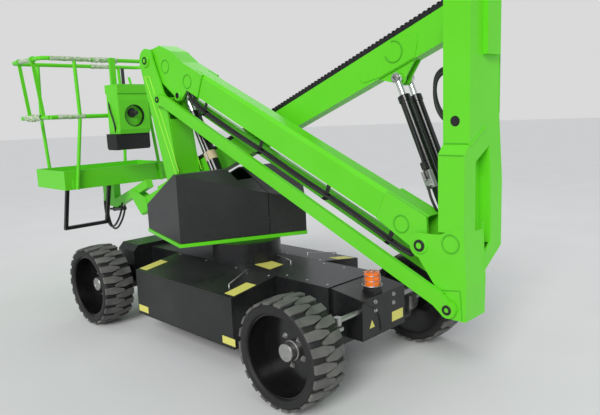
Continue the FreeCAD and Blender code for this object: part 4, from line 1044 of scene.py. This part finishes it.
# %% Cage
beacon_box = [nodes["beacon_lens"].matrix_world @ Vector(corner) for corner in nodes["beacon_lens"].bound_box]
beacon_low = min(corner.z for corner in beacon_box)
beacon_mid = sum(beacon_box, Vector()) / 8
tall = max(corner.z for corner in beacon_box) - beacon_low
foot = Matrix.Translation((beacon_mid.x, beacon_mid.y, beacon_low))
bm = bmesh.new()
for radius, height, wire in ((0.060, 0.004, 0.003), (0.052, tall * 0.42, 0.0022),
                             (0.051, tall * 0.80, 0.0022), (0.018, tall + 0.008, 0.0022)):
    ring_bead(bm, foot @ Matrix.Translation((0, 0, height)), radius, wire)
finish_piece("cage_rings", bm, zinc, "chassis")
cage_wire = [(0.060, 0.004), (0.053, 0.010), (0.052, tall * 0.42), (0.051, tall * 0.80),
             (0.044, tall + 0.004), (0.018, tall + 0.008)]
for step in range(6):
    angle = 2 * math.pi * step / 6 + 0.3
    points = [foot @ Vector((radius * math.cos(angle), radius * math.sin(angle), height))
              for radius, height in cage_wire]
    tube("cage_wire_%d" % (step + 1), points, 0.002, zinc, "chassis")

# %% [markdown]
# ## Basket details
# At the operator's place stand a joystick inside the console's round opening and an upright
# grip, and a lead comes up to them from the box below. Wrinkled film from the delivery is still
# wound on parts of the rails. A wrap is a tube of rings around the rail: the noise function
# pushes each vertex out by its own amount, so that it looks crumpled. A short cylinder lies
# below the bracket, and two hoses hang under it in a loop.

# %% Console
console = at(1.594, -0.094, 1.622)
bm = bmesh.new()
opening = stand(console, (-1, 0, 0), (0, 0, 1))
turned(bm, opening, [(0.0945, -0.030), (0.0945, 0.0), (0.0975, 0.0), (0.099, 0.0015), (0.0975, 0.003),
                     (0.093, 0.003), (0.092, -0.030), (0.0945, -0.030)], steps=48)
finish_piece("console_bezel", bm, dark_plastic, "basket")
bm = bmesh.new()
turned(bm, opening, disc(0.094, -0.0365, -0.040), steps=48)
finish_piece("console_panel", bm, green_paint, "basket")
bm = bmesh.new()
stick = opening @ Matrix.Translation((0.026, 0.006, -0.036)) @ Matrix.Diagonal((1.25, 1.25, 1.0, 1))
turned(bm, stick, [(0.034, 0.0), (0.034, 0.006), (0.028, 0.009), (0.031, 0.014), (0.021, 0.018),
                   (0.024, 0.023), (0.013, 0.027), (0.015, 0.031), (0.007, 0.034), (0.007, 0.056),
                   (0.013, 0.060), (0.017, 0.072), (0.015, 0.086), (0.008, 0.092), (0.0, 0.093)], steps=28)
finish_piece("joystick", bm, hose_rubber, "basket")
grip = [at(1.790, -0.120, 1.901), at(1.790, -0.120, 1.960), at(1.792, -0.120, 2.055)]
tube("console_grip", grip, 0.015, hose_rubber, "basket", smooth=False)
box_lead = [(1.700, 0.050, 1.470), (1.660, 0.072, 1.520), (1.680, 0.078, 1.600), (1.740, 0.074, 1.700),
            (1.790, 0.040, 1.780), (1.800, 0.020, 1.830)]
tube("console_lead", [at(*point) for point in box_lead], 0.007, hose_rubber, "basket")


# %% Film on the rails
WRAP_RADIUS = 0.0185


def film_wrap(name, body, start, end, ragged, seed):
    """A crumpled sleeve from start to end around a rail."""
    way = end - start
    bm = bmesh.new()
    rings = max(8, int(way.length / 0.010))
    bmesh.ops.create_cone(bm, cap_ends=False, segments=26, radius1=WRAP_RADIUS, radius2=WRAP_RADIUS,
                          depth=way.length, matrix=Matrix.Translation((0, 0, way.length / 2)))
    long_edges = [edge for edge in bm.edges if abs(edge.verts[0].co.z - edge.verts[1].co.z) > 0.01]
    bmesh.ops.subdivide_edges(bm, edges=long_edges, cuts=rings, use_grid_fill=True)
    for vert in bm.verts:
        crumple = noise.noise(vert.co * 42 + Vector((seed, seed * 2, 0)))
        billow = noise.noise(vert.co * 17 + Vector((0, seed, 3)))
        swell = 1 + ragged * (0.5 + crumple) + ragged * 0.6 * billow
        vert.co.x *= max(swell, 1.02)
        vert.co.y *= max(swell, 1.02)
    bmesh.ops.transform(bm, matrix=stand(start, way, (0.31, 0.17, 0.93)), verts=bm.verts)
    bmesh.ops.solidify(bm, geom=bm.faces, thickness=0.0006)
    smooth_shading(finish_piece(name, bm, film, body))


rail_x, rail_z, mid_z = 1.8589, 2.132, 1.632
side_y = 0.596
FILM = [  # name, body, start, end, how ragged, seed
    ("film_top", "basket", (rail_x, 0.135, rail_z), (rail_x, -0.105, rail_z), 0.42, 3),
    ("film_corner", "basket", (rail_x, 0.520, rail_z), (rail_x, 0.150, rail_z), 0.14, 5),
    ("film_side", "basket", (2.060, side_y, rail_z), (2.300, side_y, rail_z), 0.14, 7),
    ("film_front", "basket", (2.4989, -0.170, rail_z), (2.4989, -0.420, rail_z), 0.30, 9),
    ("film_middle", "basket", (rail_x, 0.500, mid_z), (rail_x, 0.250, mid_z), 0.18, 8),
    ("film_gate", "basket_gate", (2.060, 0.550, mid_z), (2.420, 0.550, mid_z), 0.75, 4),
]
for name, body, start, end, ragged, seed in FILM:
    film_wrap(name, body, at(*start), at(*end), ragged, seed)

# %% Below the basket
bm = bmesh.new()
strut = Vector((0.280, 0, -0.030))
strut_place = stand(at(2.110, -0.200, 0.706), strut, Y_WAY)
turned(bm, strut_place, [(0.0, 0.0), (0.022, 0.0), (0.022, 0.190), (0.025, 0.192), (0.025, 0.212),
                         (0.012, 0.214), (0.012, 0.290), (0.0, 0.290)], steps=28)
finish_piece("basket_strut", bm, gloss_black, "basket")
swing_line = [(2.085, -0.190, 0.745), (2.080, -0.185, 0.700), (2.110, -0.170, 0.610), (2.170, -0.165, 0.540),
              (2.230, -0.170, 0.500), (2.310, -0.175, 0.475), (2.380, -0.180, 0.510), (2.430, -0.185, 0.600),
              (2.446, -0.190, 0.700), (2.440, -0.190, 0.735)]
for name, across, higher in (("basket_hose", 0.0, 0.0), ("basket_cable", 0.030, 0.026)):
    points = [at(x, y + across, z + higher) for x, y, z in swing_line]
    tube(name, points, 0.010, hose_rubber, "basket")
